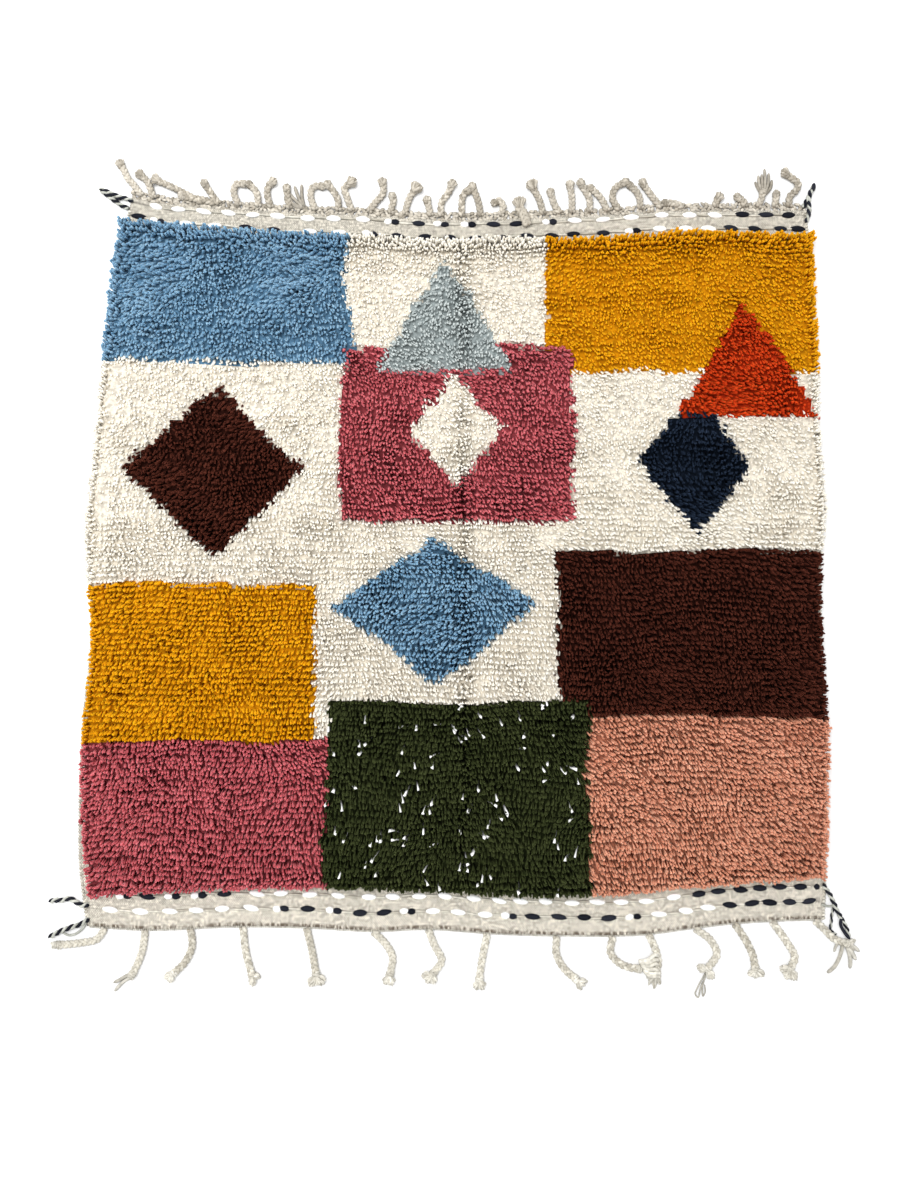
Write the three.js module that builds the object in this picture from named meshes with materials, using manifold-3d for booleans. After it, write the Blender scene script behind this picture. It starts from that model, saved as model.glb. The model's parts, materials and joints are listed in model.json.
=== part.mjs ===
// A hand-knotted wool shag rug with flat-woven ends, lying flat: a woven ground, the knotted pile on
// it, a braided fringe at each end and the twisted ends of the twining yarns at its corners.
// Millimetres, +Z up. The origin is on the underside of the ground at the rug's middle, +X runs to
// the right along the ends, and +Y runs from the end with few braids to the end with many.

import * as THREE from "three";
import { mergeVertices } from "three/addons/utils/BufferGeometryUtils.js";
import Module from "manifold-3d";

const wasm = await Module();
wasm.setup();

// Driving sizes
const GAP = 0.3; // between pieces that touch on the real rug
const GROUND_THICKNESS = 3;
const FLOAT = { length: 25, width: 10.5, height: 2.5, crown: 0.55 }; // one raised stitch of twining
const PILE_HEIGHT = 25; // from the ground to the crown of the pile
const RIM_HEIGHT = 11; // of the pile's outermost row of knots
const LOCK_REACH = 13; // how far the outermost tufts lean out
const TUFT_CLUMP = 26; // size of one lump of tufts that lean together
const BRAID = { width: 13, height: 9, topShare: 0.62 };
const PLAIT_STEP = 9; // from one crossing of a braid's yarns to the next
const TIE_SIDE = 5; // of the two-ply twist at the corners

// Distances in from the edge of the ground at each end, to its two rows of twining
const NEAR_TWINING = { outer: 27.5, inner: 51 };
const FAR_TWINING = { outer: 8, inner: 32 };
const NEAR_CORD = { width: 5, height: 4 }; // the chained edge that the few braids leave
const FAR_CORD = { width: 12, height: 8 }; // the plaited edge that the many braids leave
const END_STEPS = 32; // straight lengths that each end's edge is drawn with

// The ground's edges, uneven as woven and used
const NEAR_EDGE = [
  { x: -586, y: -590 },
  { x: -500, y: -595 },
  { x: -338, y: -590 },
  { x: -230, y: -592 },
  { x: -134, y: -597 },
  { x: -42, y: -594 },
  { x: 60, y: -601 },
  { x: 170, y: -604 },
  { x: 300, y: -602 },
  { x: 380, y: -592 },
  { x: 443, y: -585 },
  { x: 510, y: -581 },
  { x: 584, y: -579 },
];
const FAR_EDGE = [
  { x: -552, y: 618 },
  { x: -512, y: 609 },
  { x: -430, y: 601 },
  { x: -345, y: 595 },
  { x: -253, y: 589 },
  { x: -158, y: 586 },
  { x: -63, y: 579 },
  { x: 60, y: 578 },
  { x: 158, y: 582 },
  { x: 250, y: 586 },
  { x: 350, y: 593 },
  { x: 440, y: 594 },
  { x: 596, y: 594 },
];
const LEFT_EDGE = [
  { y: -590, x: -586 },
  { y: -503, x: -600 },
  { y: -400, x: -605 },
  { y: -233, x: -602 },
  { y: -161, x: -596 },
  { y: 50, x: -604 },
  { y: 150, x: -597 },
  { y: 280, x: -588 },
  { y: 400, x: -580 },
  { y: 500, x: -570 },
  { y: 618, x: -552 },
];
const RIGHT_EDGE = [
  { y: -579, x: 584 },
  { y: -500, x: 589 },
  { y: -400, x: 591 },
  { y: -217, x: 595 },
  { y: -100, x: 596 },
  { y: 80, x: 600 },
  { y: 214, x: 600 },
  { y: 300, x: 602 },
  { y: 421, x: 600 },
  { y: 500, x: 598 },
  { y: 594, x: 596 },
];

// Where the tips of the pile's outermost tufts reach: the two ends, and past the ground at its
// sides, where below zero leaves the selvedge in sight
const PILE_NEAR = [
  { x: -578, y: -544 },
  { x: -460, y: -536 },
  { x: -307, y: -531 },
  { x: -89, y: -534 },
  { x: 14, y: -538 },
  { x: 110, y: -544 },
  { x: 227, y: -542 },
  { x: 306, y: -536 },
  { x: 385, y: -528 },
  { x: 464, y: -523 },
  { x: 578, y: -514 },
];
const PILE_FAR = [
  { x: -548, y: 577 },
  { x: -430, y: 566 },
  { x: -296, y: 557 },
  { x: -144, y: 550 },
  { x: -50, y: 543 },
  { x: 40, y: 546 },
  { x: 242, y: 547 },
  { x: 393, y: 557 },
  { x: 586, y: 552 },
];
const PILE_LEFT = [
  { y: -560, past: -9 },
  { y: -400, past: -6 },
  { y: -160, past: -6 },
  { y: -30, past: 0 },
  { y: 60, past: 3 },
  { y: 250, past: 3 },
  { y: 580, past: 6 },
];
const PILE_RIGHT = [
  { y: -540, past: 3 },
  { y: -300, past: 3 },
  { y: 0, past: -1 },
  { y: 80, past: 6 },
  { y: 180, past: 2 },
  { y: 560, past: 2 },
];

// Where the floats of each row of twining are, in x
const NEAR_FLOATS = {
  outer: [
    -550, -502, -455, -413, -372, -326, -279, -236, -195, -153, -115, -77, -37, 3, 46, 84, 121,
    163, 203, 242, 281, 322, 365, 400, 435, 470, 498, 530, 561,
  ],
  inner: [
    -567, -529, -492, -452, -410, -369, -317, -279, -233, -188, -139, -101, -59, -18, 28, 68, 102,
    142, 184, 224, 262, 302, 346, 386, 417, 452, 483, 515, 548, 574,
  ],
};
const FAR_FLOATS = {
  outer: [
    -537, -510, -472, -429, -387, -345, -303, -252, -208, -158, -109, -63, -25, 21, 64, 103, 159,
    202, 250, 298, 350, 397, 440, 487, 527, 565,
  ],
  inner: [
    -539, -507, -460, -410, -356, -309, -248, -199, -146, -99, -52, -10, 34, 78, 121, 163, 199,
    250, 300, 346, 390, 429, 467, 507, 551, 580,
  ],
};

// The mark of a fold down the middle of the pile
const FOLD = { x: 12, depth: 5, halfWidth: 15 };

// One braid a row. x is its root on the edge; tip is how many times as wide as the braid its end
// tuft is; route lists points that it passes, each as [to the right of the root, out from the
// edge]; tails are the points where loose yarns from its end knot stop, measured in the same way.
const NEAR_BRAIDS = [
  { x: -557, tip: 1.2, route: [[-12, 18], [-33, 23], [-58, 26], [-83, 27]], tails: [] },
  { x: -493, tip: 1.2, route: [[-4, 34], [-16, 64]], tails: [[-47, 83]] },
  { x: -421, tip: 1.7, route: [[3, 27], [-7, 51], [-30, 74]], tails: [] },
  { x: -338, tip: 1.6, route: [[5, 39], [18, 84]], tails: [] },
  { x: -237, tip: 2.2, route: [[9, 37], [18, 87]], tails: [] },
  { x: -131, tip: 1.7, route: [[18, 19], [30, 39], [25, 80]], tails: [] },
  { x: -44, tip: 2, route: [[10, 27], [21, 48], [3, 82]], tails: [] },
  { x: 49, tip: 1.3, route: [[-8, 39], [-14, 83]], tails: [] },
  { x: 159, tip: 1.6, route: [[-1, 28], [12, 52], [36, 75]], tails: [] },
  { x: 248, tip: 1.5, route: [[-4, 27], [9, 44], [44, 53]], tails: [] },
  { x: 305, tip: 1.9, route: [[11, 27], [7, 48], [0, 80]], tails: [] },
  { x: 379, tip: 2, route: [[24, 20], [33, 40], [20, 61], [8, 75]], tails: [[1, 103]] },
  { x: 442, tip: 1.7, route: [[18, 30], [27, 51], [30, 81]], tails: [] },
  { x: 501, tip: 2, route: [[22, 33], [34, 57], [23, 86]], tails: [] },
  { x: 569, tip: 1.4, route: [[29, 27], [54, 43]], tails: [[27, 82], [61, 60]] },
];
const FAR_BRAIDS = [
  { x: -529, tip: 1.2, route: [[-15, 24], [-29, 38], [-35, 53], [-45, 67]], tails: [] },
  { x: -510, tip: 1.5, route: [[-9, 32], [-30, 45]], tails: [] },
  { x: -414, tip: 1.1, route: [[-28, 21], [-53, 29], [-76, 43], [-89, 51]], tails: [] },
  { x: -399, tip: 1.1, route: [[-13, 30], [-30, 48]], tails: [] },
  { x: -371, tip: 1.1, route: [[-6, 35], [2, 50]], tails: [] },
  { x: -331, tip: 1.2, route: [[-4, 38], [-22, 51]], tails: [] },
  { x: -316, tip: 1.1, route: [[-4, 39], [9, 52]], tails: [] },
  { x: -270, tip: 1.2, route: [[-6, 29], [-17, 45]], tails: [] },
  { x: -256, tip: 1, route: [[-3, 33], [-4, 54]], tails: [] },
  { x: -240, tip: 1.1, route: [[-4, 34], [6, 52]], tails: [] },
  { x: -200, tip: 1.1, route: [[-4, 34], [-22, 50]], tails: [] },
  { x: -174, tip: 1.3, route: [[-10, 33], [-12, 50], [0, 60]], tails: [] },
  { x: -142, tip: 1.2, route: [[15, 31], [19, 62]], tails: [] },
  { x: -107, tip: 1.1, route: [[-3, 28], [4, 48]], tails: [] },
  { x: -86, tip: 1.1, route: [[4, 31], [13, 49], [32, 53]], tails: [] },
  { x: -42, tip: 1.1, route: [[-4, 28], [-14, 44]], tails: [] },
  { x: -26, tip: 1.3, route: [[5, 37], [24, 67]], tails: [] },
  { x: 13, tip: 1.1, route: [[-4, 34], [-14, 50]], tails: [] },
  { x: 43, tip: 1.2, route: [[-4, 34], [-16, 58]], tails: [] },
  { x: 83, tip: 1.3, route: [[0, 26], [-9, 40]], tails: [] },
  { x: 112, tip: 2, route: [[0, 16], [1, 28]], tails: [] },
  { x: 150, tip: 1.3, route: [[-5, 34], [-20, 62]], tails: [] },
  { x: 174, tip: 1.2, route: [[-7, 38], [-16, 62]], tails: [] },
  { x: 199, tip: 1.2, route: [[1, 39], [-1, 64]], tails: [] },
  { x: 230, tip: 1.2, route: [[-4, 34], [-13, 61]], tails: [] },
  { x: 257, tip: 1.2, route: [[-11, 35], [-27, 57]], tails: [] },
  { x: 275, tip: 1.2, route: [[-7, 28], [0, 48], [15, 61]], tails: [] },
  { x: 315, tip: 1.2, route: [[-5, 32], [-20, 55]], tails: [] },
  { x: 342, tip: 1.3, route: [[-11, 33], [-23, 54]], tails: [] },
  { x: 386, tip: 1, route: [[-19, 18], [-39, 18]], tails: [] },
  { x: 441, tip: 1, route: [[1, 16], [11, 25]], tails: [] },
  { x: 490, tip: 1, route: [[-1, 16], [-12, 24]], tails: [] },
  { x: 515, tip: 1.4, route: [[8, 32], [17, 64]], tails: [] },
  { x: 541, tip: 1.1, route: [[3, 18], [5, 34]], tails: [] },
  { x: 566, tip: 1.2, route: [[7, 25], [16, 38], [4, 54], [-4, 72]], tails: [] },
];
// The twisted yarn ends. Each leaves a side of the ground at y; its route is as [out from that
// side, towards the far end].
const TIES = [
  { name: "tie_far_left", side: "left", y: 604, route: [[29, 15], [54, 27]] },
  { name: "tie_far_right", side: "right", y: 573, route: [[4, 20], [7, 45], [13, 64]] },
  { name: "tie_near_left_inner", side: "left", y: -556, route: [[15, -4], [36, 7], [56, 4]] },
  { name: "tie_near_left_outer", side: "left", y: -580, route: [[26, -14], [56, -26]] },
  { name: "tie_near_right", side: "right", y: -530, route: [[13, -26], [20, -41], [31, -66]] },
];

// Colours as dyed, and wool's dull surface
const COLOURS = { ground: 0xd3cabc, pile: 0xe9e4d8, braid: 0xdcd6ca, tie: 0x33363c };

function wool(colour) {
  return new THREE.MeshStandardMaterial({ color: colour, roughness: 0.95, metalness: 0 });
}

// Small helpers

// A smooth curve through a table's rows: give a value of its first column, get its second.
function curveThrough(rows, along, across) {
  const stations = Float32Array.from(rows, (row) => row[along]);
  const values = Float32Array.from(rows, (row) => row[across]);
  const curve = new THREE.CubicInterpolant(stations, values, 1);
  return (station) => curve.evaluate(station)[0];
}

// A number from 0 to 1 that looks random and is the same each time.
function scatter(a, b = 0) {
  const wave = Math.sin(a * 12.9898 + b * 78.233) * 43758.5453;
  return wave - Math.floor(wave);
}

function solidFrom(geometry) {
  const bare = geometry.clone();
  bare.deleteAttribute("normal");
  bare.deleteAttribute("uv");
  const merged = mergeVertices(bare, 1e-3);
  return new wasm.Manifold(
    new wasm.Mesh({
      numProp: 3,
      vertProperties: new Float32Array(merged.attributes.position.array),
      triVerts: new Uint32Array(merged.index.array),
    }),
  );
}

function namedMesh(name, solid, material) {
  const { vertProperties, triVerts } = solid.getMesh();
  const geometry = new THREE.BufferGeometry();
  geometry.setAttribute("position", new THREE.BufferAttribute(vertProperties, 3));
  geometry.setIndex(new THREE.BufferAttribute(triVerts, 1));
  geometry.computeVertexNormals();
  const mesh = new THREE.Mesh(geometry, material);
  mesh.name = name;
  return mesh;
}

const nearEdge = curveThrough(NEAR_EDGE, "x", "y");
const farEdge = curveThrough(FAR_EDGE, "x", "y");
const leftEdge = curveThrough(LEFT_EDGE, "y", "x");
const rightEdge = curveThrough(RIGHT_EDGE, "y", "x");

// The woven ground: one sheet, with its twined floats raised on both ends

function stations(rows, column, steps) {
  const [first, last] = [rows[0][column], rows.at(-1)[column]];
  return Array.from({ length: steps + 1 }, (_, i) => first + ((last - first) * i) / steps);
}

function groundSheet() {
  const atEnd = (rows) => stations(rows, "x", END_STEPS);
  const nearSide = atEnd(NEAR_EDGE).map((x) => new THREE.Vector2(x, nearEdge(x)));
  const rightSide = stations(RIGHT_EDGE, "y", 20).map((y) => new THREE.Vector2(rightEdge(y), y));
  const farSide = atEnd(FAR_EDGE).map((x) => new THREE.Vector2(x, farEdge(x)));
  const leftSide = stations(LEFT_EDGE, "y", 20).map((y) => new THREE.Vector2(leftEdge(y), y));
  const outline = [
    ...nearSide,
    ...rightSide.slice(1, -1),
    ...farSide.reverse(),
    ...leftSide.reverse().slice(1, -1),
  ];
  return new THREE.ExtrudeGeometry(new THREE.Shape(outline), {
    depth: GROUND_THICKNESS,
    bevelEnabled: false,
  });
}

// One row of floats, a named distance in from an end of the ground.
function twiningRow(edge, inward, floats) {
  const sunk = 1; // of the float, inside the ground that it is part of
  return floats.map((x) => {
    const slope = Math.atan2(edge(x + 5) - edge(x - 5), 10);
    const float = new THREE.CylinderGeometry(FLOAT.crown, 1, FLOAT.height + sunk, 6);
    float.rotateX(Math.PI / 2);
    float.rotateZ(Math.PI / 2);
    float.scale(FLOAT.length / 2, FLOAT.width / 2, 1);
    float.rotateZ(slope);
    float.translate(x, edge(x) + inward, GROUND_THICKNESS + (FLOAT.height - sunk) / 2);
    return solidFrom(float);
  });
}

function wovenGround() {
  return wasm.Manifold.union([
    solidFrom(groundSheet()),
    ...twiningRow(nearEdge, NEAR_TWINING.outer, NEAR_FLOATS.outer),
    ...twiningRow(nearEdge, NEAR_TWINING.inner, NEAR_FLOATS.inner),
    ...twiningRow(farEdge, -FAR_TWINING.outer, FAR_FLOATS.outer),
    ...twiningRow(farEdge, -FAR_TWINING.inner, FAR_FLOATS.inner),
  ]);
}

// The pile: a lumpy slab of tufts with leaning locks round its rim

const pileNear = curveThrough(PILE_NEAR, "x", "y");
const pileFar = curveThrough(PILE_FAR, "x", "y");
const pastLeft = curveThrough(PILE_LEFT, "y", "past");
const pastRight = curveThrough(PILE_RIGHT, "y", "past");

// A point of the slab's plan, from 0 to 1 across and from 0 to 1 along.
function pilePlan(across, along) {
  const roughX = THREE.MathUtils.lerp(PILE_NEAR[0].x, PILE_NEAR.at(-1).x, across);
  const near = pileNear(roughX) + LOCK_REACH;
  const far = pileFar(roughX) - LOCK_REACH;
  const y = THREE.MathUtils.lerp(near, far, along);
  const left = leftEdge(y) - pastLeft(y) + LOCK_REACH;
  const right = rightEdge(y) + pastRight(y) - LOCK_REACH;
  return new THREE.Vector2(THREE.MathUtils.lerp(left, right, across), y);
}

function pileTop(point, column, row, ringsIn) {
  if (ringsIn === 0) return RIM_HEIGHT;
  const fullness = ringsIn === 1 ? 0.82 : 1;
  const clump = (scatter(column, row) - 0.5) * 6;
  const swell = 1.6 * Math.sin(point.x / 47 + 2 * Math.sin(point.y / 83)) * Math.sin(point.y / 59);
  const across = (point.x - FOLD.x) / FOLD.halfWidth;
  const fold = FOLD.depth * (0.6 + 0.4 * Math.sin(point.y / 71)) * Math.exp(-across * across);
  return PILE_HEIGHT * fullness + clump + swell - fold;
}

// Even stations with a narrow first and last one, so that the rim is round.
function rimmedStations(count, rim) {
  const inner = count - 2;
  const middle = Array.from({ length: inner + 1 }, (_, i) => rim + ((1 - 2 * rim) * i) / inner);
  return [0, ...middle, 1];
}

function pileSlab() {
  const foot = GROUND_THICKNESS + GAP;
  const columns = Math.round(1180 / TUFT_CLUMP);
  const rows = Math.round(1080 / TUFT_CLUMP);
  const acrossStations = rimmedStations(columns, 0.01);
  const alongStations = rimmedStations(rows, 0.011);
  const points = [];
  const faces = [];
  const topAt = (column, row) => row * (columns + 1) + column;

  for (let row = 0; row <= rows; row++) {
    for (let column = 0; column <= columns; column++) {
      const point = pilePlan(acrossStations[column], alongStations[row]);
      const ringsIn = Math.min(column, row, columns - column, rows - row);
      points.push([point.x, point.y, foot + pileTop(point, column, row, ringsIn)]);
    }
  }
  for (let row = 0; row < rows; row++) {
    for (let column = 0; column < columns; column++) {
      const [a, b] = [topAt(column, row), topAt(column + 1, row)];
      const [c, d] = [topAt(column + 1, row + 1), topAt(column, row + 1)];
      faces.push([a, b, c], [a, c, d]);
    }
  }

  // The rim's grid points in order, seen from above against the clock
  const rim = [
    ...Array.from({ length: columns }, (_, i) => topAt(i, 0)),
    ...Array.from({ length: rows }, (_, i) => topAt(columns, i)),
    ...Array.from({ length: columns }, (_, i) => topAt(columns - i, rows)),
    ...Array.from({ length: rows }, (_, i) => topAt(0, rows - i)),
  ];
  const footAt = points.length;
  for (const top of rim) points.push([points[top][0], points[top][1], foot]);
  const middle = points.push([0, 0, foot]) - 1;

  rim.forEach((top, i) => {
    const next = (i + 1) % rim.length;
    const [topNext, low, lowNext] = [rim[next], footAt + i, footAt + next];
    const tip = points.push(lockTip(points[top], points[topNext], foot, i)) - 1;
    faces.push([topNext, top, tip], [top, low, tip], [low, lowNext, tip], [lowNext, topNext, tip]);
    faces.push([middle, lowNext, low]);
  });

  const geometry = new THREE.BufferGeometry();
  geometry.setAttribute("position", new THREE.Float32BufferAttribute(points.flat(), 3));
  geometry.setIndex(faces.flat());
  return geometry;
}

// The tip of the lock that leans out between two neighbouring points of the rim.
function lockTip(from, to, foot, index) {
  const along = new THREE.Vector2(to[0] - from[0], to[1] - from[1]).normalize();
  const outward = new THREE.Vector2(along.y, -along.x);
  const reach = LOCK_REACH * (0.7 + 0.5 * scatter(index, 3));
  const slant = TUFT_CLUMP * 0.5 * (scatter(index, 7) - 0.5);
  return [
    (from[0] + to[0]) / 2 + outward.x * reach + along.x * slant,
    (from[1] + to[1]) / 2 + outward.y * reach + along.y * slant,
    foot + 4 + 3.5 * scatter(index, 11),
  ];
}

// Braids, edge cords and ties: four-sided bars along a route on the floor

// Points and headings at even steps of a smooth route through some points on the floor.
function routeThrough(points, steps) {
  const curve = new THREE.CatmullRomCurve3(
    points.map(([x, y]) => new THREE.Vector3(x, y, 0)),
    false,
    "centripetal",
  );
  return Array.from({ length: steps + 1 }, (_, i) => {
    return { place: curve.getPointAt(i / steps), forward: curve.getTangentAt(i / steps) };
  });
}

function lengthOf(points) {
  return points.slice(1).reduce((sum, [x, y], i) => {
    return sum + Math.hypot(x - points[i][0], y - points[i][1]);
  }, 0);
}

// The four corners of a bar across its route. topShare is the share of its width that its top
// keeps; twist turns the section about the route.
function corners({ place, forward }, { width, height, topShare = 1, twist = 0, centre }) {
  const middle = centre ?? height / 2;
  return [[-1, -1], [1, -1], [1, 1], [-1, 1]].map(([acrossSign, upSign]) => {
    const across = (acrossSign * width * (upSign > 0 ? topShare : 1)) / 2;
    const up = (upSign * height) / 2;
    const sideways = across * Math.cos(twist) - up * Math.sin(twist);
    const upwards = across * Math.sin(twist) + up * Math.cos(twist);
    return [place.x - forward.y * sideways, place.y + forward.x * sideways, middle + upwards];
  });
}

// A bar of one straight length for each step of its route. section(step) gives its size there.
function barAlong(route, section) {
  const points = route.flatMap((stop, step) => corners(stop, section(step)));
  const faces = [];
  for (let near = 0; near < points.length - 4; near += 4) {
    for (let side = 0; side < 4; side++) {
      const next = (side + 1) % 4;
      const [a, b, c, d] = [near + side, near + next, near + 4 + next, near + 4 + side];
      faces.push([a, b, c], [a, c, d]);
    }
  }
  const last = points.length - 4;
  faces.push([0, 2, 1], [0, 3, 2], [last, last + 1, last + 2], [last, last + 2, last + 3]);
  const bar = new THREE.BufferGeometry();
  bar.setAttribute("position", new THREE.Float32BufferAttribute(points.flat(), 3));
  bar.setIndex(faces.flat());
  return solidFrom(bar);
}

// One braid: plaited yarns to an end knot with a tuft, and the loose yarns that leave the knot.
function braid({ x, tip, route, tails }, edge, cord, outward) {
  const onFloor = ([right, out]) => [x + right, edge(x) + outward * out];
  // The root is inside the cord that it is fused to, and clear of the ground where it leans
  const [right, out] = route[0];
  const leaning = Math.abs(right) / Math.hypot(right, out);
  const rootInset = GAP + Math.max(cord.width * 0.4, (BRAID.width * leaning) / 2 + 2.5);
  const points = [[0, rootInset], ...route].map(onFloor);
  const steps = Math.max(3, Math.round(lengthOf(points) / PLAIT_STEP));
  const braided = barAlong(routeThrough(points, steps), (step) => {
    const plait = step % 2 ? 0.9 : 1.06;
    const swell = step === steps ? tip : step === steps - 1 ? (1 + tip) / 2 : 1;
    return {
      width: BRAID.width * plait * swell,
      height: BRAID.height * plait * Math.sqrt(swell),
      topShare: BRAID.topShare,
    };
  });
  const knot = points.at(-1);
  const loose = tails.map(onFloor).map((end) => {
    const way = new THREE.Vector2(end[0] - knot[0], end[1] - knot[1]).normalize();
    const start = [knot[0] - way.x * 4, knot[1] - way.y * 4];
    return barAlong(routeThrough([start, end], 2), (step) => {
      return { width: 8 - step, height: 4, topShare: 0.6 };
    });
  });
  return [braided, ...loose];
}

// The cord along an end of the ground, with the braids that leave it.
function fringe(rows, braids, edge, cord, outward) {
  const line = stations(rows, "x", END_STEPS).map((x) => {
    const y = edge(x) + outward * (GAP + cord.width / 2);
    return { place: new THREE.Vector2(x, y), forward: new THREE.Vector2(1, 0) };
  });
  const edgeCord = barAlong(line, () => ({ width: cord.width, height: cord.height }));
  const loose = braids.flatMap((row) => braid(row, edge, cord, outward));
  return wasm.Manifold.union([edgeCord, ...loose]);
}

// A two-ply twist of yarn that leaves a side of the ground beside a row of twining.
function cornerTie({ side, y, route }) {
  const edge = side === "left" ? leftEdge : rightEdge;
  const outward = side === "left" ? -1 : 1;
  const [out, along] = route[0];
  const leaning = Math.abs(along) / Math.hypot(out, along);
  const rootInset = GAP + TIE_SIDE * Math.SQRT1_2 * leaning;
  const points = [[rootInset, 0], ...route].map(([x, dy]) => [edge(y) + outward * x, y + dy]);
  const steps = Math.round(lengthOf(points) / TIE_SIDE);
  return barAlong(routeThrough(points, steps), (step) => {
    const size = TIE_SIDE * (1 - 0.35 * (step / steps) ** 3);
    const twist = Math.PI / 4 + step * 0.75;
    return { width: size, height: size, twist, centre: TIE_SIDE * Math.SQRT1_2 };
  });
}

// The rug

const rug = new THREE.Group();
rug.name = "rug";
rug.add(namedMesh("woven_ground", wovenGround(), wool(COLOURS.ground)));
rug.add(namedMesh("pile", solidFrom(pileSlab()), wool(COLOURS.pile)));
rug.add(
  namedMesh(
    "fringe_near",
    fringe(NEAR_EDGE, NEAR_BRAIDS, nearEdge, NEAR_CORD, -1),
    wool(COLOURS.braid),
  ),
);
rug.add(
  namedMesh("fringe_far", fringe(FAR_EDGE, FAR_BRAIDS, farEdge, FAR_CORD, 1), wool(COLOURS.braid)),
);
for (const tie of TIES) rug.add(namedMesh(tie.name, cornerTie(tie), wool(COLOURS.tie)));

export default rug;
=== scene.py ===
# %% [markdown]
# # A hand-knotted shag rug, made piece by piece around its CAD frame
#
# The rug lies flat on the floor. A thin woven sheet carries everything: thousands of knotted tufts
# of wool, two rows of thick twined yarn at each end, braided tassels, and the loose ends of the
# twining yarns at the corners. Each cell makes one of those pieces or one finish, in metres, in the
# place that the CAD gives it. X runs to the right along the ends, Y from the end near the camera to
# the far one, and Z up.

# %% Load the frame
import json
import math

import bpy
import numpy as np
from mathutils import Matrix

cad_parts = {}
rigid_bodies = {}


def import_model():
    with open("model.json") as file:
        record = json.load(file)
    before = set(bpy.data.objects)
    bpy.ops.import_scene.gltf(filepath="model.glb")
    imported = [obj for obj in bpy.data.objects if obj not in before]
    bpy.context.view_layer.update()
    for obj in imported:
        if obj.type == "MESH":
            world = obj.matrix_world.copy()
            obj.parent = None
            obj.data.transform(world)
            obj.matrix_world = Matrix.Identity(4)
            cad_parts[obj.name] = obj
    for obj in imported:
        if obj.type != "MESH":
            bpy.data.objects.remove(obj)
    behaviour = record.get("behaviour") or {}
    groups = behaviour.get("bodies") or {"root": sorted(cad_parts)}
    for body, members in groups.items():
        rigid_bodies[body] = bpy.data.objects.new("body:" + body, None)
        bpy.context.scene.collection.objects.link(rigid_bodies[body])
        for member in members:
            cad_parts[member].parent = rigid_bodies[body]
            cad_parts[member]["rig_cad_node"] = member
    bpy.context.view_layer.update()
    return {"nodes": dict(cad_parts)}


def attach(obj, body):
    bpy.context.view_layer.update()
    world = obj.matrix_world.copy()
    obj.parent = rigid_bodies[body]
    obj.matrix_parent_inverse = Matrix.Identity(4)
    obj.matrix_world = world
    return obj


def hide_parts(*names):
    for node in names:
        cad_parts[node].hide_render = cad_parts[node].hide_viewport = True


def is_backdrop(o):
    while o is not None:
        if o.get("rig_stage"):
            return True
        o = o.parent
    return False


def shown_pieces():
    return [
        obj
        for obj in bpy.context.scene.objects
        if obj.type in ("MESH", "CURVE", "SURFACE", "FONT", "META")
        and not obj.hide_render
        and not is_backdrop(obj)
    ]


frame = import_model()
MM = 0.001
print("CAD nodes:", sorted(frame["nodes"]))

# %% [markdown]
# ## The camera and the light first
#
# The photo was taken by hand from above, with the lens of a phone, a little towards the near end.
# A camera 1.48 m over the floor and turned by 5 degrees sees the rug in the same way. The light is
# a large soft panel over the far left corner, so that each tuft has a lit side and a shaded one,
# with a pale sky all round that fills the shadows.

# %% Camera and soft light
CAMERA_PLACE, CAMERA_TILT, LENS = (-0.010, -0.200, 1.480), 5, 27.18
PANEL_PLACE, PANEL_SIZE, PANEL_POWER = (-0.85, 0.5, 2.7), 2.2, 80

camera_data = bpy.data.cameras.new("overhead_camera")
camera_data.sensor_width = 36
camera_data.lens = LENS
camera = bpy.data.objects.new("overhead_camera", camera_data)
camera.location = CAMERA_PLACE
camera.rotation_euler = (math.radians(CAMERA_TILT), 0, 0)

panel_data = bpy.data.lights.new("soft_panel", "AREA")
panel_data.shape = "RECTANGLE"
panel_data.size = panel_data.size_y = PANEL_SIZE
panel_data.energy = PANEL_POWER
panel = bpy.data.objects.new("soft_panel", panel_data)
panel.location = PANEL_PLACE
panel.rotation_euler = (-panel.location).to_track_quat("-Z", "Y").to_euler()

for placed in (camera, panel):
    bpy.context.scene.collection.objects.link(placed)
bpy.context.scene.camera = camera

sky = bpy.data.worlds.new("pale_studio")
sky.use_nodes = True
sky.node_tree.nodes["Background"].inputs["Color"].default_value = (1, 1, 1, 1)
sky.node_tree.nodes["Background"].inputs["Strength"].default_value = 1.0
bpy.context.scene.world = sky
bpy.context.scene.view_settings.view_transform = "Standard"
print("Camera height:", camera.location.z, "m")

# %% [markdown]
# ## Small helpers
#
# Blender's operators work on whatever is selected, so a helper selects one piece alone first.
# Others add a plain shape, open it for editing and close it up again. One draws a smooth line
# through the few points that were measured, as a bent ruler would, and one gives a slow, uneven
# drift over the floor, which stands for everything that a hand-made thing does unevenly: the lean
# of the pile, the dye, the waves of an edge.


# %% Selecting and editing, smooth lines and slow drifts
def select_only(piece):
    """Selects one piece and makes it the active one."""
    bpy.ops.object.select_all(action="DESELECT")
    piece.select_set(True)
    bpy.context.view_layer.objects.active = piece


def new_shape(name, add, **settings):
    """Adds a plain shape with one of Blender's operators, and names it."""
    bpy.ops.object.select_all(action="DESELECT")
    add(**settings)
    piece = bpy.context.active_object
    piece.name = name
    return piece


def edit_all():
    """Opens the active piece for editing, with all of it selected."""
    bpy.ops.object.mode_set(mode="EDIT")
    bpy.ops.mesh.select_all(action="SELECT")


def close_up():
    """Turns the faces of the piece outwards, ends the editing and shades it smooth."""
    bpy.ops.mesh.select_all(action="SELECT")
    bpy.ops.mesh.normals_make_consistent(inside=False)
    bpy.ops.object.mode_set(mode="OBJECT")
    bpy.ops.object.shade_smooth()


def points_of(piece):
    """The points of a piece, one in each row."""
    return np.array([corner.co for corner in piece.data.vertices])


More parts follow.
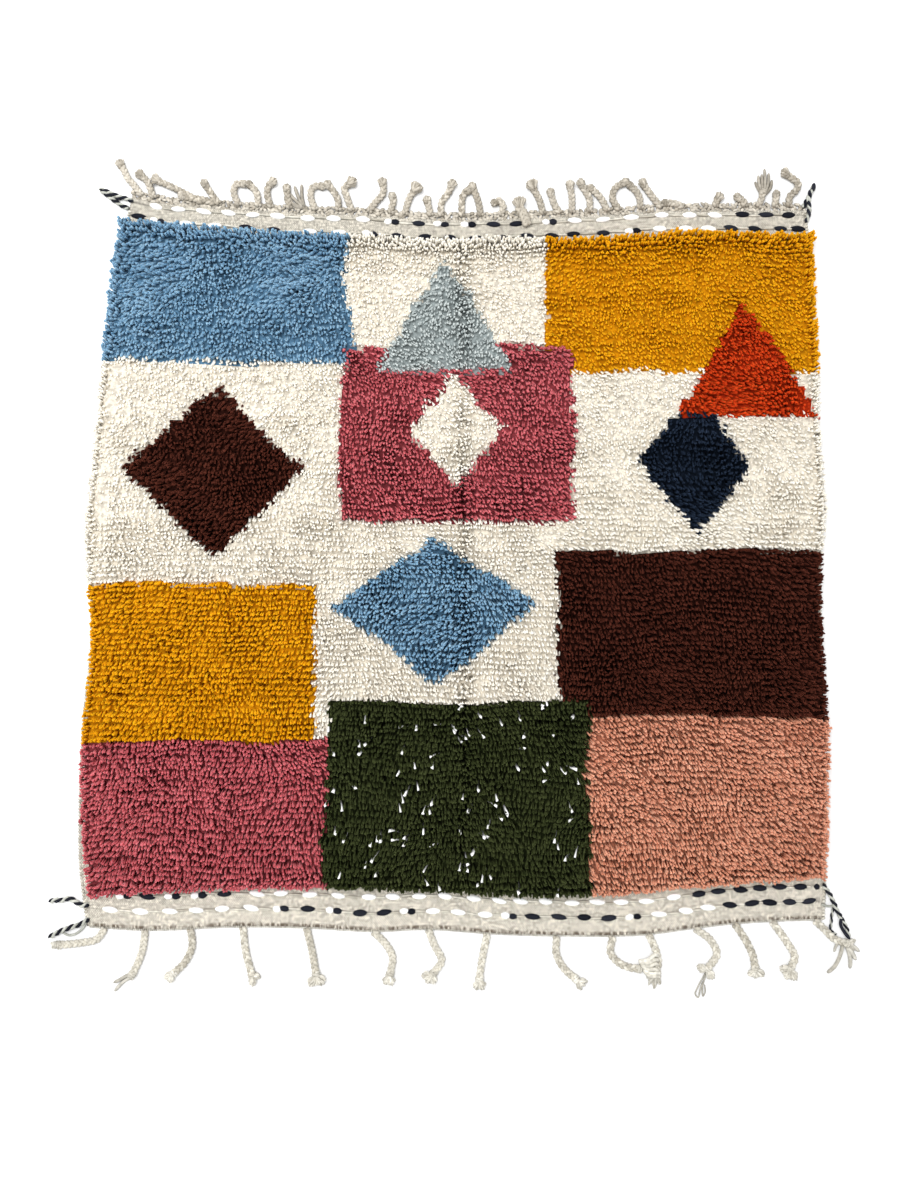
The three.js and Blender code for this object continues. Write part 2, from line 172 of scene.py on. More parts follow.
def write_values(mesh, **values):
    """Writes numbers or vectors for the points of a mesh, each kind under its own name."""
    for label, rows in values.items():
        rows = np.ascontiguousarray(rows)
        whole, single = rows.dtype.kind == "i", rows.ndim == 1
        kind = "INT" if whole else "FLOAT" if single else "FLOAT_VECTOR"
        layer = mesh.attributes.new(label, kind, "POINT")
        rows = rows.astype(np.int32 if whole else np.float32)
        layer.data.foreach_set("value" if single else "vector", rows.ravel())


def smooth_through(rows, at):
    """The height of a smooth line through rows of (place, height), at other places."""
    place, height = np.array(rows, float).T
    slope = np.gradient(height, place)
    at = np.clip(at, place[0], place[-1])
    left = np.clip(np.searchsorted(place, at) - 1, 0, len(place) - 2)
    step = place[left + 1] - place[left]
    t = (at - place[left]) / step
    return (
        height[left] * (1 + 2 * t) * (1 - t) ** 2
        + slope[left] * step * t * (1 - t) ** 2
        + height[left + 1] * t * t * (3 - 2 * t)
        - slope[left + 1] * step * t * t * (1 - t)
    )


def drift(x, y, length, seed):
    """A slow, uneven value between about -1 and 1 that varies over the floor."""
    rng = np.random.default_rng(seed)
    total = 0
    for _ in range(6):
        angle = rng.uniform(0, math.tau)
        wave = math.tau / (length * rng.uniform(0.7, 1.6))
        across = x * math.cos(angle) + y * math.sin(angle)
        total = total + np.sin(across * wave + rng.uniform(0, math.tau))
    return total / 3


def blend_in(value, start, end):
    """0 before start, 1 after end, and smooth between them."""
    t = np.clip((value - start) / (end - start), 0, 1)
    return t * t * (3 - 2 * t)


def finish_piece(piece, finish, slot, *nodes):
    """Gives a piece its finish, its place on the rug and the CAD nodes that it stands for."""
    piece.data.materials.clear()
    for one in finish if isinstance(finish, list) else [finish]:
        piece.data.materials.append(one)
    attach(piece, "root")
    if nodes:
        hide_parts(*nodes)
    faces = len(piece.data.polygons)
    print(f"{piece.name}: {faces} faces, {len(piece.data.vertices)} points")
    return piece


sample = drift(np.linspace(-0.6, 0.6, 500), 0, 0.2, 12)
print("Across the rug, one drift runs from", sample.min().round(2), "to", sample.max().round(2))


# %% [markdown]
# ## The outline of the rug
#
# Nothing on it is straight. These are the measured edges of the woven ground and of the tips of
# the pile, in millimetres: the same rows that the CAD was made from, so every piece lands on its
# own solid. The sides of the pile are given as how far they go past the ground, and only its far
# rim is set back a little here. A place between four edges is found in a few rounds, because each
# edge bends a little with every step along it.

# %% The measured edges
NEAR_EDGE = [(-586, -590), (-500, -595), (-338, -590), (-230, -592), (-134, -597), (-42, -594),
             (60, -601), (170, -604), (300, -602), (380, -592), (443, -585), (510, -581),
             (584, -579)]
FAR_EDGE = [(-552, 618), (-512, 609), (-430, 601), (-345, 595), (-253, 589), (-158, 586),
            (-63, 579), (60, 578), (158, 582), (250, 586), (350, 593), (440, 594), (596, 594)]
LEFT_EDGE = [(-590, -586), (-503, -600), (-400, -605), (-233, -602), (-161, -596), (50, -604),
             (150, -597), (280, -588), (400, -580), (500, -570), (618, -552)]
RIGHT_EDGE = [(-579, 584), (-500, 589), (-400, 591), (-217, 595), (-100, 596), (80, 600),
              (214, 600), (300, 602), (421, 600), (500, 598), (594, 596)]
PILE_NEAR = [(-578, -544), (-460, -536), (-307, -531), (-89, -534), (14, -538), (110, -544),
             (227, -542), (306, -536), (385, -528), (464, -523), (578, -514)]
PILE_FAR = [(-548, 577), (-430, 566), (-296, 557), (-144, 550), (-50, 543), (40, 546),
            (242, 547), (393, 557), (586, 552)]
PILE_LEFT = [(-560, -16), (-480, -12), (-400, -7), (-160, -6), (-30, 0), (60, 3), (250, 3),
             (580, 6)]
PILE_RIGHT = [(-545, -10), (-480, -3), (-400, 2), (-300, 3), (0, -1), (80, 6), (180, 2), (560, 2)]
# Tall tips at the far rim seem to stand further out than they do, so that rim is set back
SET_BACK = 8 * MM


def edge_line(rows):
    """A function for one edge, in metres."""
    rows = np.array(rows, float) * MM
    return lambda at: smooth_through(rows, np.asarray(at, float))


near_edge, far_edge = edge_line(NEAR_EDGE), edge_line(FAR_EDGE)
left_edge, right_edge = edge_line(LEFT_EDGE), edge_line(RIGHT_EDGE)
pile_near, far_tips = edge_line(PILE_NEAR), edge_line(PILE_FAR)
past_left, past_right = edge_line(PILE_LEFT), edge_line(PILE_RIGHT)
# The edges of the ground and of the pile: left, right, near and far
GROUND_EDGES = (left_edge, right_edge, near_edge, far_edge)
PILE_EDGES = (
    lambda y: left_edge(y) - past_left(y),
    lambda y: right_edge(y) + past_right(y),
    pile_near,
    lambda x: far_tips(x) - SET_BACK,
)


def place_between(edges, across, along, margin=0):
    """The place of a point so far across and along between four edges, each from 0 to 1."""
    left, right, near, far = edges
    # A first guess, which each round brings nearer to its place
    x = -0.586 + 1.17 * across
    for _ in range(3):
        start, end = near(x) + margin, far(x) - margin
        y = start + (end - start) * along
        start, end = left(y) + margin, right(y) - margin
        x = start + (end - start) * across
    return x, y


def ways_in(edges, x, y):
    """How far each place is in from the left, right, near and far edge."""
    left, right, near, far = edges
    return x - left(y), right(y) - x, y - near(x), far(x) - y


print("Width half way up:", round(float(right_edge(0) - left_edge(0)), 3), "m")
print("Length in the middle:", round(float(far_edge(0) - near_edge(0)), 3), "m")

# %% [markdown]
# ## Finishes for wool
#
# All of the rug is wool, so its finishes are one family: rough and without gloss, and fine noise
# in Object coordinates raises their loose fibres. Each colour of yarn goes from a deep tone to a
# bright one. Every tuft has its own number between 0 and 1, called shade, because hand-spun yarn
# takes dye unevenly, and a second one, called along, from its root to its tip, with which painted
# shade darkens the roots, where less light reaches. Coarser noise adds light and dark specks. Its
# values lie close to 0.5, so the ramp that turns them into specks is a narrow one.


# %% Yarn finishes
def from_screen(red, green, blue):
    """A colour as seen on a screen, from 0 to 255, as the linear values that Blender uses."""
    shares = [value / 255 for value in (red, green, blue)]
    return [s / 12.92 if s <= 0.04045 else ((s + 0.055) / 1.055) ** 2.4 for s in shares] + [1.0]


def put(tree, socket, value):
    """Gives a socket a value, or links the output of another node to it."""
    if isinstance(value, bpy.types.NodeSocket):
        tree.links.new(value, socket)
    else:
        socket.default_value = value


def add_node(tree, kind, inputs=None, **settings):
    """A new node with its settings, and a value or a link for each input that is named."""
    made = tree.nodes.new(kind)
    for name, value in settings.items():
        setattr(made, name, value)
    for name, value in (inputs or {}).items():
        put(tree, made.inputs[name], value)
    return made


def mix_colours(tree, share, low, high, blend_type="MIX"):
    """Mixes two colours, each one a colour or another node's output, and returns the result."""
    inputs = {0: share, 6: low, 7: high}
    made = add_node(tree, "ShaderNodeMix", inputs, data_type="RGBA", blend_type=blend_type)
    return made.outputs[2]


def times(tree, colour, factor):
    """A colour, made darker or brighter by a factor."""
    return mix_colours(tree, 1.0, colour, factor, "MULTIPLY")


def ramp(tree, value, start_end, low_high):
    """A value that runs from low to high while another one runs from start to end."""
    names = ("Value", "From Min", "From Max", "To Min", "To Max")
    inputs = dict(zip(names, (value, *start_end, *low_high)))
    return add_node(tree, "ShaderNodeMapRange", inputs).outputs["Result"]


def maths(tree, operation, *values):
    """The result of one sum of arithmetic in a material."""
    inputs = dict(enumerate(values))
    return add_node(tree, "ShaderNodeMath", inputs, operation=operation).outputs[0]


def attribute(tree, label):
    """A number that each point of the piece carries."""
    return add_node(tree, "ShaderNodeAttribute", attribute_name=label).outputs["Fac"]


def noise_at(tree, place, scale, detail):
    """The outputs of a noise at the place that another node gives."""
    inputs = {"Vector": place, "Scale": scale, "Detail": detail}
    return add_node(tree, "ShaderNodeTexNoise", inputs).outputs


def specked(tree, place, scale, low_high, stretch=(1, 1, 1)):
    """Light and dark specks, as factors for a colour."""
    stretched = add_node(tree, "ShaderNodeMapping", {"Vector": place, "Scale": stretch})
    noise = noise_at(tree, stretched.outputs["Vector"], scale, 2)
    return ramp(tree, noise["Fac"], (0.41, 0.59), low_high)


def add_bump(tree, height, strength, distance, **more):
    """The normals of a surface that is raised by a height."""
    inputs = {"Height": height, "Strength": strength, "Distance": distance, **more}
    return add_node(tree, "ShaderNodeBump", inputs).outputs["Normal"]


def wool_finish(name, sheen=0.0):
    """A rough woollen surface, with its tree, shader, place, fibres and bump for more nodes."""
    finish = bpy.data.materials.new(name)
    finish.use_nodes = True
    tree = finish.node_tree
    shader = tree.nodes["Principled BSDF"]
    for socket, value in (("Roughness", 0.95), ("Specular IOR Level", 0.06),
                          ("Sheen Weight", sheen), ("Sheen Roughness", 0.6)):
        shader.inputs[socket].default_value = value
    place = add_node(tree, "ShaderNodeTexCoord").outputs["Object"]
    fibres = noise_at(tree, place, 1400, 3)["Fac"]
    bump = add_bump(tree, fibres, 0.35, 0.5 * MM)
    put(tree, shader.inputs["Normal"], bump)
    return finish, tree, shader, place, fibres, bump


def yarn_finish(name, deep, bright, root=0.62, specks=(0.93, 1.05)):
    """Yarn whose tone follows each strand's own shade, and whose root is darkened by painted shade.
    """
    finish, tree, shader, place, _, _ = wool_finish(name)
    tone = mix_colours(tree, attribute(tree, "shade"), from_screen(*deep), from_screen(*bright))
    # Painted shade: the tone darkens towards the root of each strand, where little light gets in
    root_shaded_tone = times(tree, tone, (root, root, root, 1))
    lit = ramp(tree, attribute(tree, "along"), (0.25, 0.85), (0, 1))
    colour = mix_colours(tree, lit, root_shaded_tone, tone)
    colour = times(tree, colour, specked(tree, place, 170, specks))
    put(tree, shader.inputs["Base Color"], colour)
    return finish


# Each colour: its deep tone and its bright one, as seen on a screen, and how bright its roots stay
# under the painted root shade
YARNS = {
    "cream": ((216, 208, 193), (242, 237, 225), 0.9),
    "blue": ((85, 122, 150), (130, 164, 188), 0.78),
    "grey_blue": ((144, 153, 153), (190, 197, 195), 0.85),
    "rose": ((148, 62, 68), (200, 102, 108), 0.52),
    "orange": ((154, 38, 8), (197, 62, 20), 0.8),
    "navy": ((14, 22, 34), (30, 40, 56), 0.7),
    "mustard": ((189, 124, 5), (221, 155, 17), 0.88),
    "brown": ((49, 20, 13), (75, 35, 25), 0.62),
    "salmon": ((178, 114, 89), (216, 154, 127), 0.75),
    "green": ((34, 40, 18), (56, 62, 34), 0.62),
}
pile_finishes = {name: yarn_finish("wool_" + name, *tones) for name, tones in YARNS.items()}
for finish in pile_finishes.values():
    # Light goes some way into soft wool and comes out beside it, which fills its small shadows
    shader = finish.node_tree.nodes["Principled BSDF"]
    shader.inputs["Subsurface Weight"].default_value = 0.6
    shader.inputs["Subsurface Radius"].default_value = (1, 1, 1)
    shader.inputs["Subsurface Scale"].default_value = 4 * MM
# Yarn that isn't dyed: near braids, their cut ends, far braids, and the pale half of the ties
PLAIN_SPECKS = (0.82, 1.08)
# Each one with its deep and bright tone, and how bright painted shade leaves its lowest parts
braid_finish, cut_finish, far_braid_finish, cream_ply_finish = (
    yarn_finish("wool_" + name, deep, bright, root, PLAIN_SPECKS)
    for name, deep, bright, root in (
        ("undyed_plait", (160, 154, 140), (218, 214, 202), 0.45),
        ("cut_ends", (176, 171, 158), (226, 223, 213), 0.5),
        ("undyed_plait_far", (138, 130, 116), (205, 198, 185), 0.45),
        ("cream_ply", (118, 120, 112), (196, 197, 188), 0.4),
    )
)
white_finish = yarn_finish("wool_bleached_yarn", (236, 236, 234), (255, 255, 255), 0.9)
black_finish = yarn_finish("wool_black_yarn", (14, 16, 22), (40, 42, 50), 0.9)
print(len(bpy.data.materials), "materials so far")

# %% [markdown]
# ## The woven ground
#
# The real ground is a tabby: beige wool weft beaten down over cotton-like warps, about 1.7 mm from
# thread to thread. Only its two ends and a little of its sides show. It could be a flat plane with
# a picture of cloth, but its edge is uneven and it sinks a little under the rows of twining, so it
# is a grid that is denser in the two bands and is moved on to the measured outline. Solidify makes
# it thick, and its underside is then made flat, as it lies on the floor. The threads themselves
# are finer than the mesh, and come from two crossing waves in the material.

# %% Woven ground, a sheet of 1.2 by 1.2 m
GROUND_TOP, GROUND_FOOT, CLOTH = 3 * MM, 0.2 * MM, 2.6 * MM
COLUMNS = 170
BAND_ROWS = np.concatenate([
    np.linspace(0, 0.065, 20),
    np.linspace(0.09, 0.91, 22),
    np.linspace(0.94, 1, 18),
])
# The rows of twining, as their ways in from the near and the far end in mm
NEAR_ROWS, FAR_ROWS = (27.5, 51), (8, 32)
RIPPLE, HOLLOW, HOLLOW_WIDTH = 0.5 * MM, 0.9 * MM, 4 * MM


def furrows(from_near, from_far):
    """Each row of twining, as the way in from its end and how far in the row is."""
    ends = ((from_near, NEAR_ROWS), (from_far, FAR_ROWS))
    return [(way_in, row * MM) for way_in, rows in ends for row in rows]


def flat_grid(name, columns, rows):
    """A flat grid, and how far across and along it each of its points is, from 0 to 1."""
    add = bpy.ops.mesh.primitive_grid_add
    piece = new_shape(name, add, x_subdivisions=columns, y_subdivisions=rows, size=1)
    across, along, _ = points_of(piece).T + 0.5
    return piece, across, along


def move_points(piece, x, y, z):
    """Puts each point of a piece in its place."""
    piece.data.vertices.foreach_set("co", np.stack([x, y, z], 1).ravel())
    piece.data.update()


ground, across, along = flat_grid("woven_ground_cloth", COLUMNS, len(BAND_ROWS) - 1)
along = BAND_ROWS[np.rint(along * (len(BAND_ROWS) - 1)).astype(int)]
x, y = place_between(GROUND_EDGES, across, along)
_, _, from_near, from_far = ways_in(GROUND_EDGES, x, y)
hollows = [np.exp(-(((way_in - row) / HOLLOW_WIDTH) ** 2))
           for way_in, row in furrows(from_near, from_far)]
move_points(ground, x, y, GROUND_TOP + RIPPLE * drift(x, y, 0.05, 3) - HOLLOW * sum(hollows))

thickness = ground.modifiers.new("cloth_thickness", "SOLIDIFY")
thickness.thickness = CLOTH
thickness.offset = -1
select_only(ground)
bpy.ops.object.modifier_apply(modifier=thickness.name)
for corner in list(ground.data.vertices)[len(x):]:
    corner.co.z = GROUND_FOOT
edit_all()
close_up()
x, y, z = points_of(ground).T
_, _, from_near, from_far = ways_in(GROUND_EDGES, x, y)
write_values(ground.data, from_near=from_near, from_far=from_far)
print("The cloth in mm:", (z.min() * 1000).round(2), (z.max() * 1000).round(2))

# %% [markdown]
# ### The finish of the ground
#
# In a tabby the weft goes over one warp and under the next, and the next row does the opposite.
# Seen close, that is a chessboard of small bumps, which the product of two sine waves gives. A
# slow noise pushes both waves out of line, because hand-spun thread is thick and thin. The same
# pattern paints shade into the gaps between threads and a highlight on their tops. A faint sheen
# shows where the light grazes the cloth.


# %% Tabby weave finish
def weave_finish(name, deep, bright, pitch):
    """Cloth of crossing threads that are pitch apart, on Object coordinates."""
    finish, tree, shader, place, _, bump = wool_finish(name, sheen=0.15)
    inputs = {0: noise_at(tree, place, 60, 2)["Color"], 1: (4 * MM, 4 * MM, 0), 2: place}
    pushed = add_node(tree, "ShaderNodeVectorMath", inputs, operation="MULTIPLY_ADD")
    parts = add_node(tree, "ShaderNodeSeparateXYZ", {0: pushed.outputs["Vector"]})
    waves = [
        maths(tree, "SINE", maths(tree, "MULTIPLY", parts.outputs[axis], math.pi / (pitch * share)))
        for axis, share in (("X", 1.0), ("Y", 1.25))
    ]
    height = ramp(tree, maths(tree, "MULTIPLY", *waves), (-1, 1), (0, 1))
    # Painted shade in the gaps between threads and painted highlight on their tops
    colour = mix_colours(tree, height, from_screen(*deep), from_screen(*bright))
    blotches = noise_at(tree, place, 14, 5)["Fac"]
    colour = times(tree, colour, ramp(tree, blotches, (0, 1), (0.84, 1.12)))
    # Thick and thin places in the warps, which run along Y, and in the weft, which runs along X
    colour = times(tree, colour, specked(tree, place, 260, (0.68, 1.16), (1.9, 0.7, 1)))
    colour = times(tree, colour, specked(tree, place, 240, (0.76, 1.12), (0.5, 1.9, 1)))
    from_near, from_far = attribute(tree, "from_near"), attribute(tree, "from_far")
    # Painted shade in the hollows where the cloth sinks under each row of twining
    for way_in, row in furrows(from_near, from_far):
        off = maths(tree, "ABSOLUTE", maths(tree, "SUBTRACT", way_in, row))
        colour = times(tree, colour, ramp(tree, off, (0.5 * MM, 2 * MM), (0.62, 1)))
    # The near band is made paler than the far one
    colour = times(tree, colour, ramp(tree, from_near, (60 * MM, 100 * MM), (1.12, 1)))
    # Painted shadow in the gaps that the stitches holding the near edge leave just inside it
    past_edge = ramp(tree, from_near, (-0.5 * MM, 0.5 * MM), (0, 1))
    before_cloth = ramp(tree, from_near, (4 * MM, 7 * MM), (1, 0))
    uneven = specked(tree, place, 190, (0, 1), (1.6, 0.4, 1))
    gaps = maths(tree, "MULTIPLY", maths(tree, "MULTIPLY", past_edge, before_cloth), uneven)
    colour = mix_colours(tree, gaps, colour, from_screen(92, 81, 69))
    put(tree, shader.inputs["Base Color"], colour)
    put(tree, shader.inputs["Normal"], add_bump(tree, height, 0.6, 0.6 * MM, Normal=bump))
    return finish


ground_finish = weave_finish("tabby_weave", (138, 130, 117), (223, 218, 205), 1.7 * MM)
finish_piece(ground, ground_finish, "ground", "woven_ground")

# %% [markdown]
# ## Planting many small things
#
# Tufts, stitches and floats of yarn are all the same job: one small shape, planted thousands of
# times, each time turned and sized a little differently. The shape is modelled once. A
# Geometry Nodes modifier then plants it on a cloud of points that carry their own turn, size and
# shade, and makes the copies real. The modifier is applied, so that the piece is a plain mesh.
# Each copy also gets its own small cell of a map named OFBake, so that its colour can be baked.


# %% A planter with Geometry Nodes
def planting_nodes(stems, cells):
    """A node group that plants the objects of a collection on points, as the points say."""
    tree = bpy.data.node_groups.new("plant_" + stems.name, "GeometryNodeTree")
    for way in ("INPUT", "OUTPUT"):
        tree.interface.new_socket("Geometry", in_out=way, socket_type="NodeSocketGeometry")

    def written(name, kind="FLOAT_VECTOR"):
        inputs = {"Name": name}
        reader = add_node(tree, "GeometryNodeInputNamedAttribute", inputs, data_type=kind)
        return reader.outputs["Attribute"]

    points, planted = add_node(tree, "NodeGroupInput"), add_node(tree, "NodeGroupOutput")
    inputs = {"Collection": stems, "Separate Children": True, "Reset Children": True}
    shapes = add_node(tree, "GeometryNodeCollectionInfo", inputs)
    plant = add_node(tree, "GeometryNodeInstanceOnPoints", {
        "Points": points.outputs[0],
        "Instance": shapes.outputs[0],
        "Pick Instance": True,
        "Instance Index": written("pick", "INT"),
        "Rotation": written("turn"),
        "Scale": written("size"),
    })
    real = add_node(tree, "GeometryNodeRealizeInstances", {0: plant.outputs[0]})
    inputs = {0: written("OFBake"), 1: (0.9 / cells, 0.9 / cells, 0), 2: written("cell")}
    in_cell = add_node(tree, "ShaderNodeVectorMath", inputs, operation="MULTIPLY_ADD")
    inputs = {"Geometry": real.outputs[0], "Name": "OFBake", "Value": in_cell.outputs["Vector"]}
    store = add_node(tree, "GeometryNodeStoreNamedAttribute", inputs, data_type="FLOAT2",
                     domain="CORNER")
    put(tree, planted.inputs[0], store.outputs[0])
    return tree


def plant_all(name, stems, places, turns, sizes, shades, picks=None):
    """Plants a copy of one of the stems on each place, and returns them as one mesh piece."""
    order = np.arange(len(places))
    cells = math.ceil(math.sqrt(len(places)))
    corner = np.stack([order % cells, order // cells, 0 * order], 1) / cells
    picks = order % len(stems.objects) if picks is None else picks
    cloud = bpy.data.meshes.new(name)
    cloud.from_pydata(places.tolist(), [], [])
    write_values(cloud, turn=turns, size=sizes, cell=corner, shade=shades, pick=picks)
    piece = bpy.data.objects.new(name, cloud)
    bpy.context.scene.collection.objects.link(piece)
    planter = piece.modifiers.new("planter", "NODES")
    planter.node_group = planting_nodes(stems, cells)
    select_only(piece)
    bpy.ops.object.modifier_apply(modifier=planter.name)
    for label in ("turn", "size", "cell", "pick"):
        layer = piece.data.attributes.get(label)
        if layer:
            piece.data.attributes.remove(layer)
    return piece


def flat_turns(angles):
    """Turns on the floor, about Z alone."""
    return np.stack([0 * angles, 0 * angles, angles], 1)


def shelve(name, pieces):
    """Moves finished shapes out of the scene, into a collection that the planter reads."""
    stems = bpy.data.collections.new(name)
    for piece in pieces:
        for home in list(piece.users_collection):
            home.objects.unlink(piece)
        stems.objects.link(piece)
    return stems


def write_map(piece, length):
    """Writes the along value and the OFBake map of a shape that stands on its root."""
    mesh = piece.data
    # The along value runs from the root to the tip, and the finish paints shade on the root end
    # with it
    write_values(mesh, along=(points_of(piece)[:, 2] / length).clip(0, 1))
    layer = mesh.uv_layers.new(name="OFBake")
    for face in mesh.polygons:
        base = math.atan2(face.center.y, face.center.x)
        for loop in face.loop_indices:
            spot = mesh.vertices[mesh.loops[loop].vertex_index].co
            turn = math.atan2(spot.y, spot.x) if spot.xy.length > 1e-5 else base
            turn = base + (turn - base + math.pi) % math.tau - math.pi
            layer.uv[loop].vector = (0.5 + turn / math.tau * 0.8, min(1, spot.z / length))


print("The planter is ready")

# %% [markdown]
# ## One tuft of pile yarn
#
# A knot of the real rug leaves ends of thick, softly twisted wool, about 28 mm long and 3 to 5 mm
# thick. With tens of thousands of them, each may have only a dozen triangles: a three-sided stem,
# extruded upwards in two steps and drawn together to a point at its root, which the knots hide, and
# to a blunt one at its tip. Smooth shading makes it look round. It is bent over by moving its upper
# rings, as the yarn bends under its own weight and under feet. Six bends make the pile uneven
# enough.

# %% Six bends of one tuft
TUFT_LENGTH, TUFT_RADIUS = 27 * MM, 2.2 * MM
# How far a tip hangs over in mm, how far it goes aside, its fullness and the turn of its sides
BENDS = [(9, 1, 1.0, 0.2), (12, -2, 1.06, 1.1), (7, 2, 0.94, 1.9), (10, -2, 0.9, 0.7),
         (13, 1.5, 1.04, 1.5), (8, -1, 1.12, 2.3)]


def select_heights(piece, low, high):
    """In edit mode, selects only the points of a piece between two heights."""
    bpy.ops.object.mode_set(mode="OBJECT")
    for corner in piece.data.vertices:
        corner.select = low < corner.co.z < high
    bpy.ops.object.mode_set(mode="EDIT")


def make_tuft(name, hang, sideways, fullness, turned):
    """A bent stem of yarn on the origin, leaning towards +X."""
    add = bpy.ops.mesh.primitive_circle_add
    tuft = new_shape(name, add, vertices=3, radius=TUFT_RADIUS, fill_type="NOTHING")
    edit_all()
    bpy.ops.mesh.select_mode(type="VERT")
    bpy.ops.mesh.select_all(action="SELECT")
    bpy.ops.transform.rotate(value=turned, orient_axis="Z", center_override=(0, 0, 0))
    for rise, swell in ((12.5, fullness), (12.5, 1.0)):
        bpy.ops.mesh.extrude_region_move(TRANSFORM_OT_translate={"value": (0, 0, rise * MM)})
        bpy.ops.transform.resize(value=(swell, swell, 1))
    bpy.ops.mesh.extrude_region_move(TRANSFORM_OT_translate={"value": (0, 0, 2 * MM)})
    bpy.ops.mesh.merge(type="CENTER")
    select_heights(tuft, -1, 1 * MM)
    bpy.ops.mesh.merge(type="CENTER")
    for above, share in ((11, 0.2), (23, 0.6), (25, 0.2)):
        select_heights(tuft, above * MM, 1)
        bpy.ops.transform.translate(value=(hang * share * MM, sideways * share * MM, 0))
    close_up()
    write_map(tuft, TUFT_LENGTH)
    return tuft


tufts = shelve("tufts", [make_tuft(f"tuft_{number}", *bend) for number, bend in enumerate(BENDS)])

# %% [markdown]
# ## The fields of colour
#
# The pile is a patchwork of plain fields with a few lozenges and triangles, the oldest motifs of
# such rugs. It is drawn as on a weaver's paper: blocks first, and smaller motifs over them. A
# knotted field can't have a smooth edge, because it grows row by row. So the colour of a knot is
# looked up by its row, each row starts a little to one side, and the rows wander as they cross.

# %% A weaver's chart of the fields
# Kind, middle in x and y, half width and half height in mm, and the colour
CHART = [
    ("block", 0, 0, 700, 700, "cream"),
    ("block", -408, 450, 228, 130, "blue"),
    ("block", 385, 440, 235, 134, "mustard"),
    ("block", 2, 205, 193, 145, "rose"),
    ("block", -425, -172, 196, 128, "mustard"),
    ("block", 390, -130, 225, 136, "brown"),
    ("block", -410, -430, 205, 132, "rose"),
    ("block", 3, -400, 208, 162, "green"),
    ("block", 410, -412, 199, 146, "salmon"),
    ("triangle", -20, 400, 120, 96, "grey_blue"),
    ("lozenge", -396, 138, 150, 142, "brown"),
    ("lozenge", 0, 205, 78, 98, "cream"),
    ("lozenge", 395, 152, 92, 112, "navy"),
    ("lozenge", -36, -88, 166, 118, "blue"),
    ("triangle", 480, 328, 118, 100, "orange"),
]
KNOT_ROW = 8.6 * MM


def row_wave(x, y):
    """How far the rows of knots run off their straight lines at a place."""
    return 5 * MM * drift(x, y, 0.2, 9) + 1.2 * MM * drift(x, y, 0.06, 10)


def row_at(x, y):
    """The number of the row of knots at some places."""
    return np.rint((y - row_wave(x, y)) / KNOT_ROW).astype(int)


def field_of(x, row):
    """The colour of the knots at some places in their rows, as numbers in the order of YARNS."""
    starts = np.random.default_rng(21).uniform(-4, 4, 400) * MM
    y = row * KNOT_ROW
    x = x + starts[row + 200] + 5 * MM * drift(x, y, 0.16, 8)
    names = list(YARNS)
    colour = np.zeros(len(x), int)
    for kind, middle_x, middle_y, half_width, half_height, name in CHART:
        across = np.abs(x - middle_x * MM) / (half_width * MM)
        along = (y - middle_y * MM) / (half_height * MM)
        if kind == "block":
            inside = (across < 1) & (np.abs(along) < 1)
        elif kind == "lozenge":
            inside = across + np.abs(along) < 1
        else:
            inside = (along > -1) & (across + (along + 1) / 2 < 1)
        colour[inside] = names.index(name)
    return colour


spots = np.random.default_rng(1).uniform(-0.55, 0.55, (20000, 2))
counts = np.bincount(field_of(spots[:, 0], row_at(*spots.T)), minlength=len(YARNS))
print("Share of each colour:", dict(zip(YARNS, (counts / 200).round(1).tolist())))

# %% [markdown]
# ## The heart of the pile
#
# Between the tips of the tufts the eye meets their lower halves, packed so tightly that they read
# as one soft mass. That mass is a low mat here, in the colours of the fields darkened by painted
# shade, uneven on top and sloping down towards the rim. It starts as a grid and gets its thickness
# by an extrude. Without it, the gaps between the tufts would look like black holes in bright wool.
# The rug was folded once, along a line near its middle, and the mat has a shallow groove there.

# %% The mat under the tips
MAT_FOOT, MAT_RIM, MAT_TOP = 3.4 * MM, 9 * MM, 14 * MM
MAT_INSET, MAT_SLOPE = 4 * MM, 26 * MM
MAT_COLUMNS, MAT_ROWS = 110, 102
# How much higher the mat is in each colour, in mm: bright wool packs most tightly
MAT_RAISED = [4, 0, 2, 0, 1, 0, 2, 0, 1, 0]
FOLD_X, FOLD_WIDTH, FOLD_DEPTH = 12 * MM, 14 * MM, 2.5 * MM

bed, across, along = flat_grid("pile_mat", MAT_COLUMNS, MAT_ROWS)
x, y = place_between(PILE_EDGES, across, along, MAT_INSET)
left, right, near, far = ways_in(PILE_EDGES, x, y)
inward = np.minimum.reduce([1.6 * left, 1.6 * right, near, far / 2])
rise = blend_in(inward, MAT_INSET / 2, MAT_SLOPE)
uneven = 0.6 * MM * drift(x, y, 0.03, 5) + 0.6 * MM * drift(x, y, 0.07, 6)
own_height = np.array(MAT_RAISED)[field_of(x, row_at(x, y))] * MM
groove = FOLD_DEPTH * np.exp(-(((x - FOLD_X) / FOLD_WIDTH) ** 2))
z = MAT_RIM + (MAT_TOP - MAT_RIM + uneven + own_height) * rise - groove * rise
move_points(bed, x, y, z)
select_only(bed)
edit_all()
bpy.ops.mesh.extrude_region_move(TRANSFORM_OT_translate={"value": (0, 0, -MAT_TOP)})
bpy.ops.transform.resize(value=(1, 1, 0), center_override=(0, 0, MAT_FOOT))
close_up()


def bed_finish(name, tone, root):
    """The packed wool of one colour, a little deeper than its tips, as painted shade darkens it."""
    finish, tree, shader, place, fibres, _ = wool_finish("packed_wool_" + name)
    # Painted shade: the root factor of the colour darkens its deep tone, as the wool between the
    # tips lies in shade
    deep = from_screen(*[root * value for value in tone])
    colour = mix_colours(tree, fibres, deep, from_screen(*tone))
    colour = times(tree, colour, specked(tree, place, 150, (0.72, 1.12)))
    put(tree, shader.inputs["Base Color"], colour)
    return finish


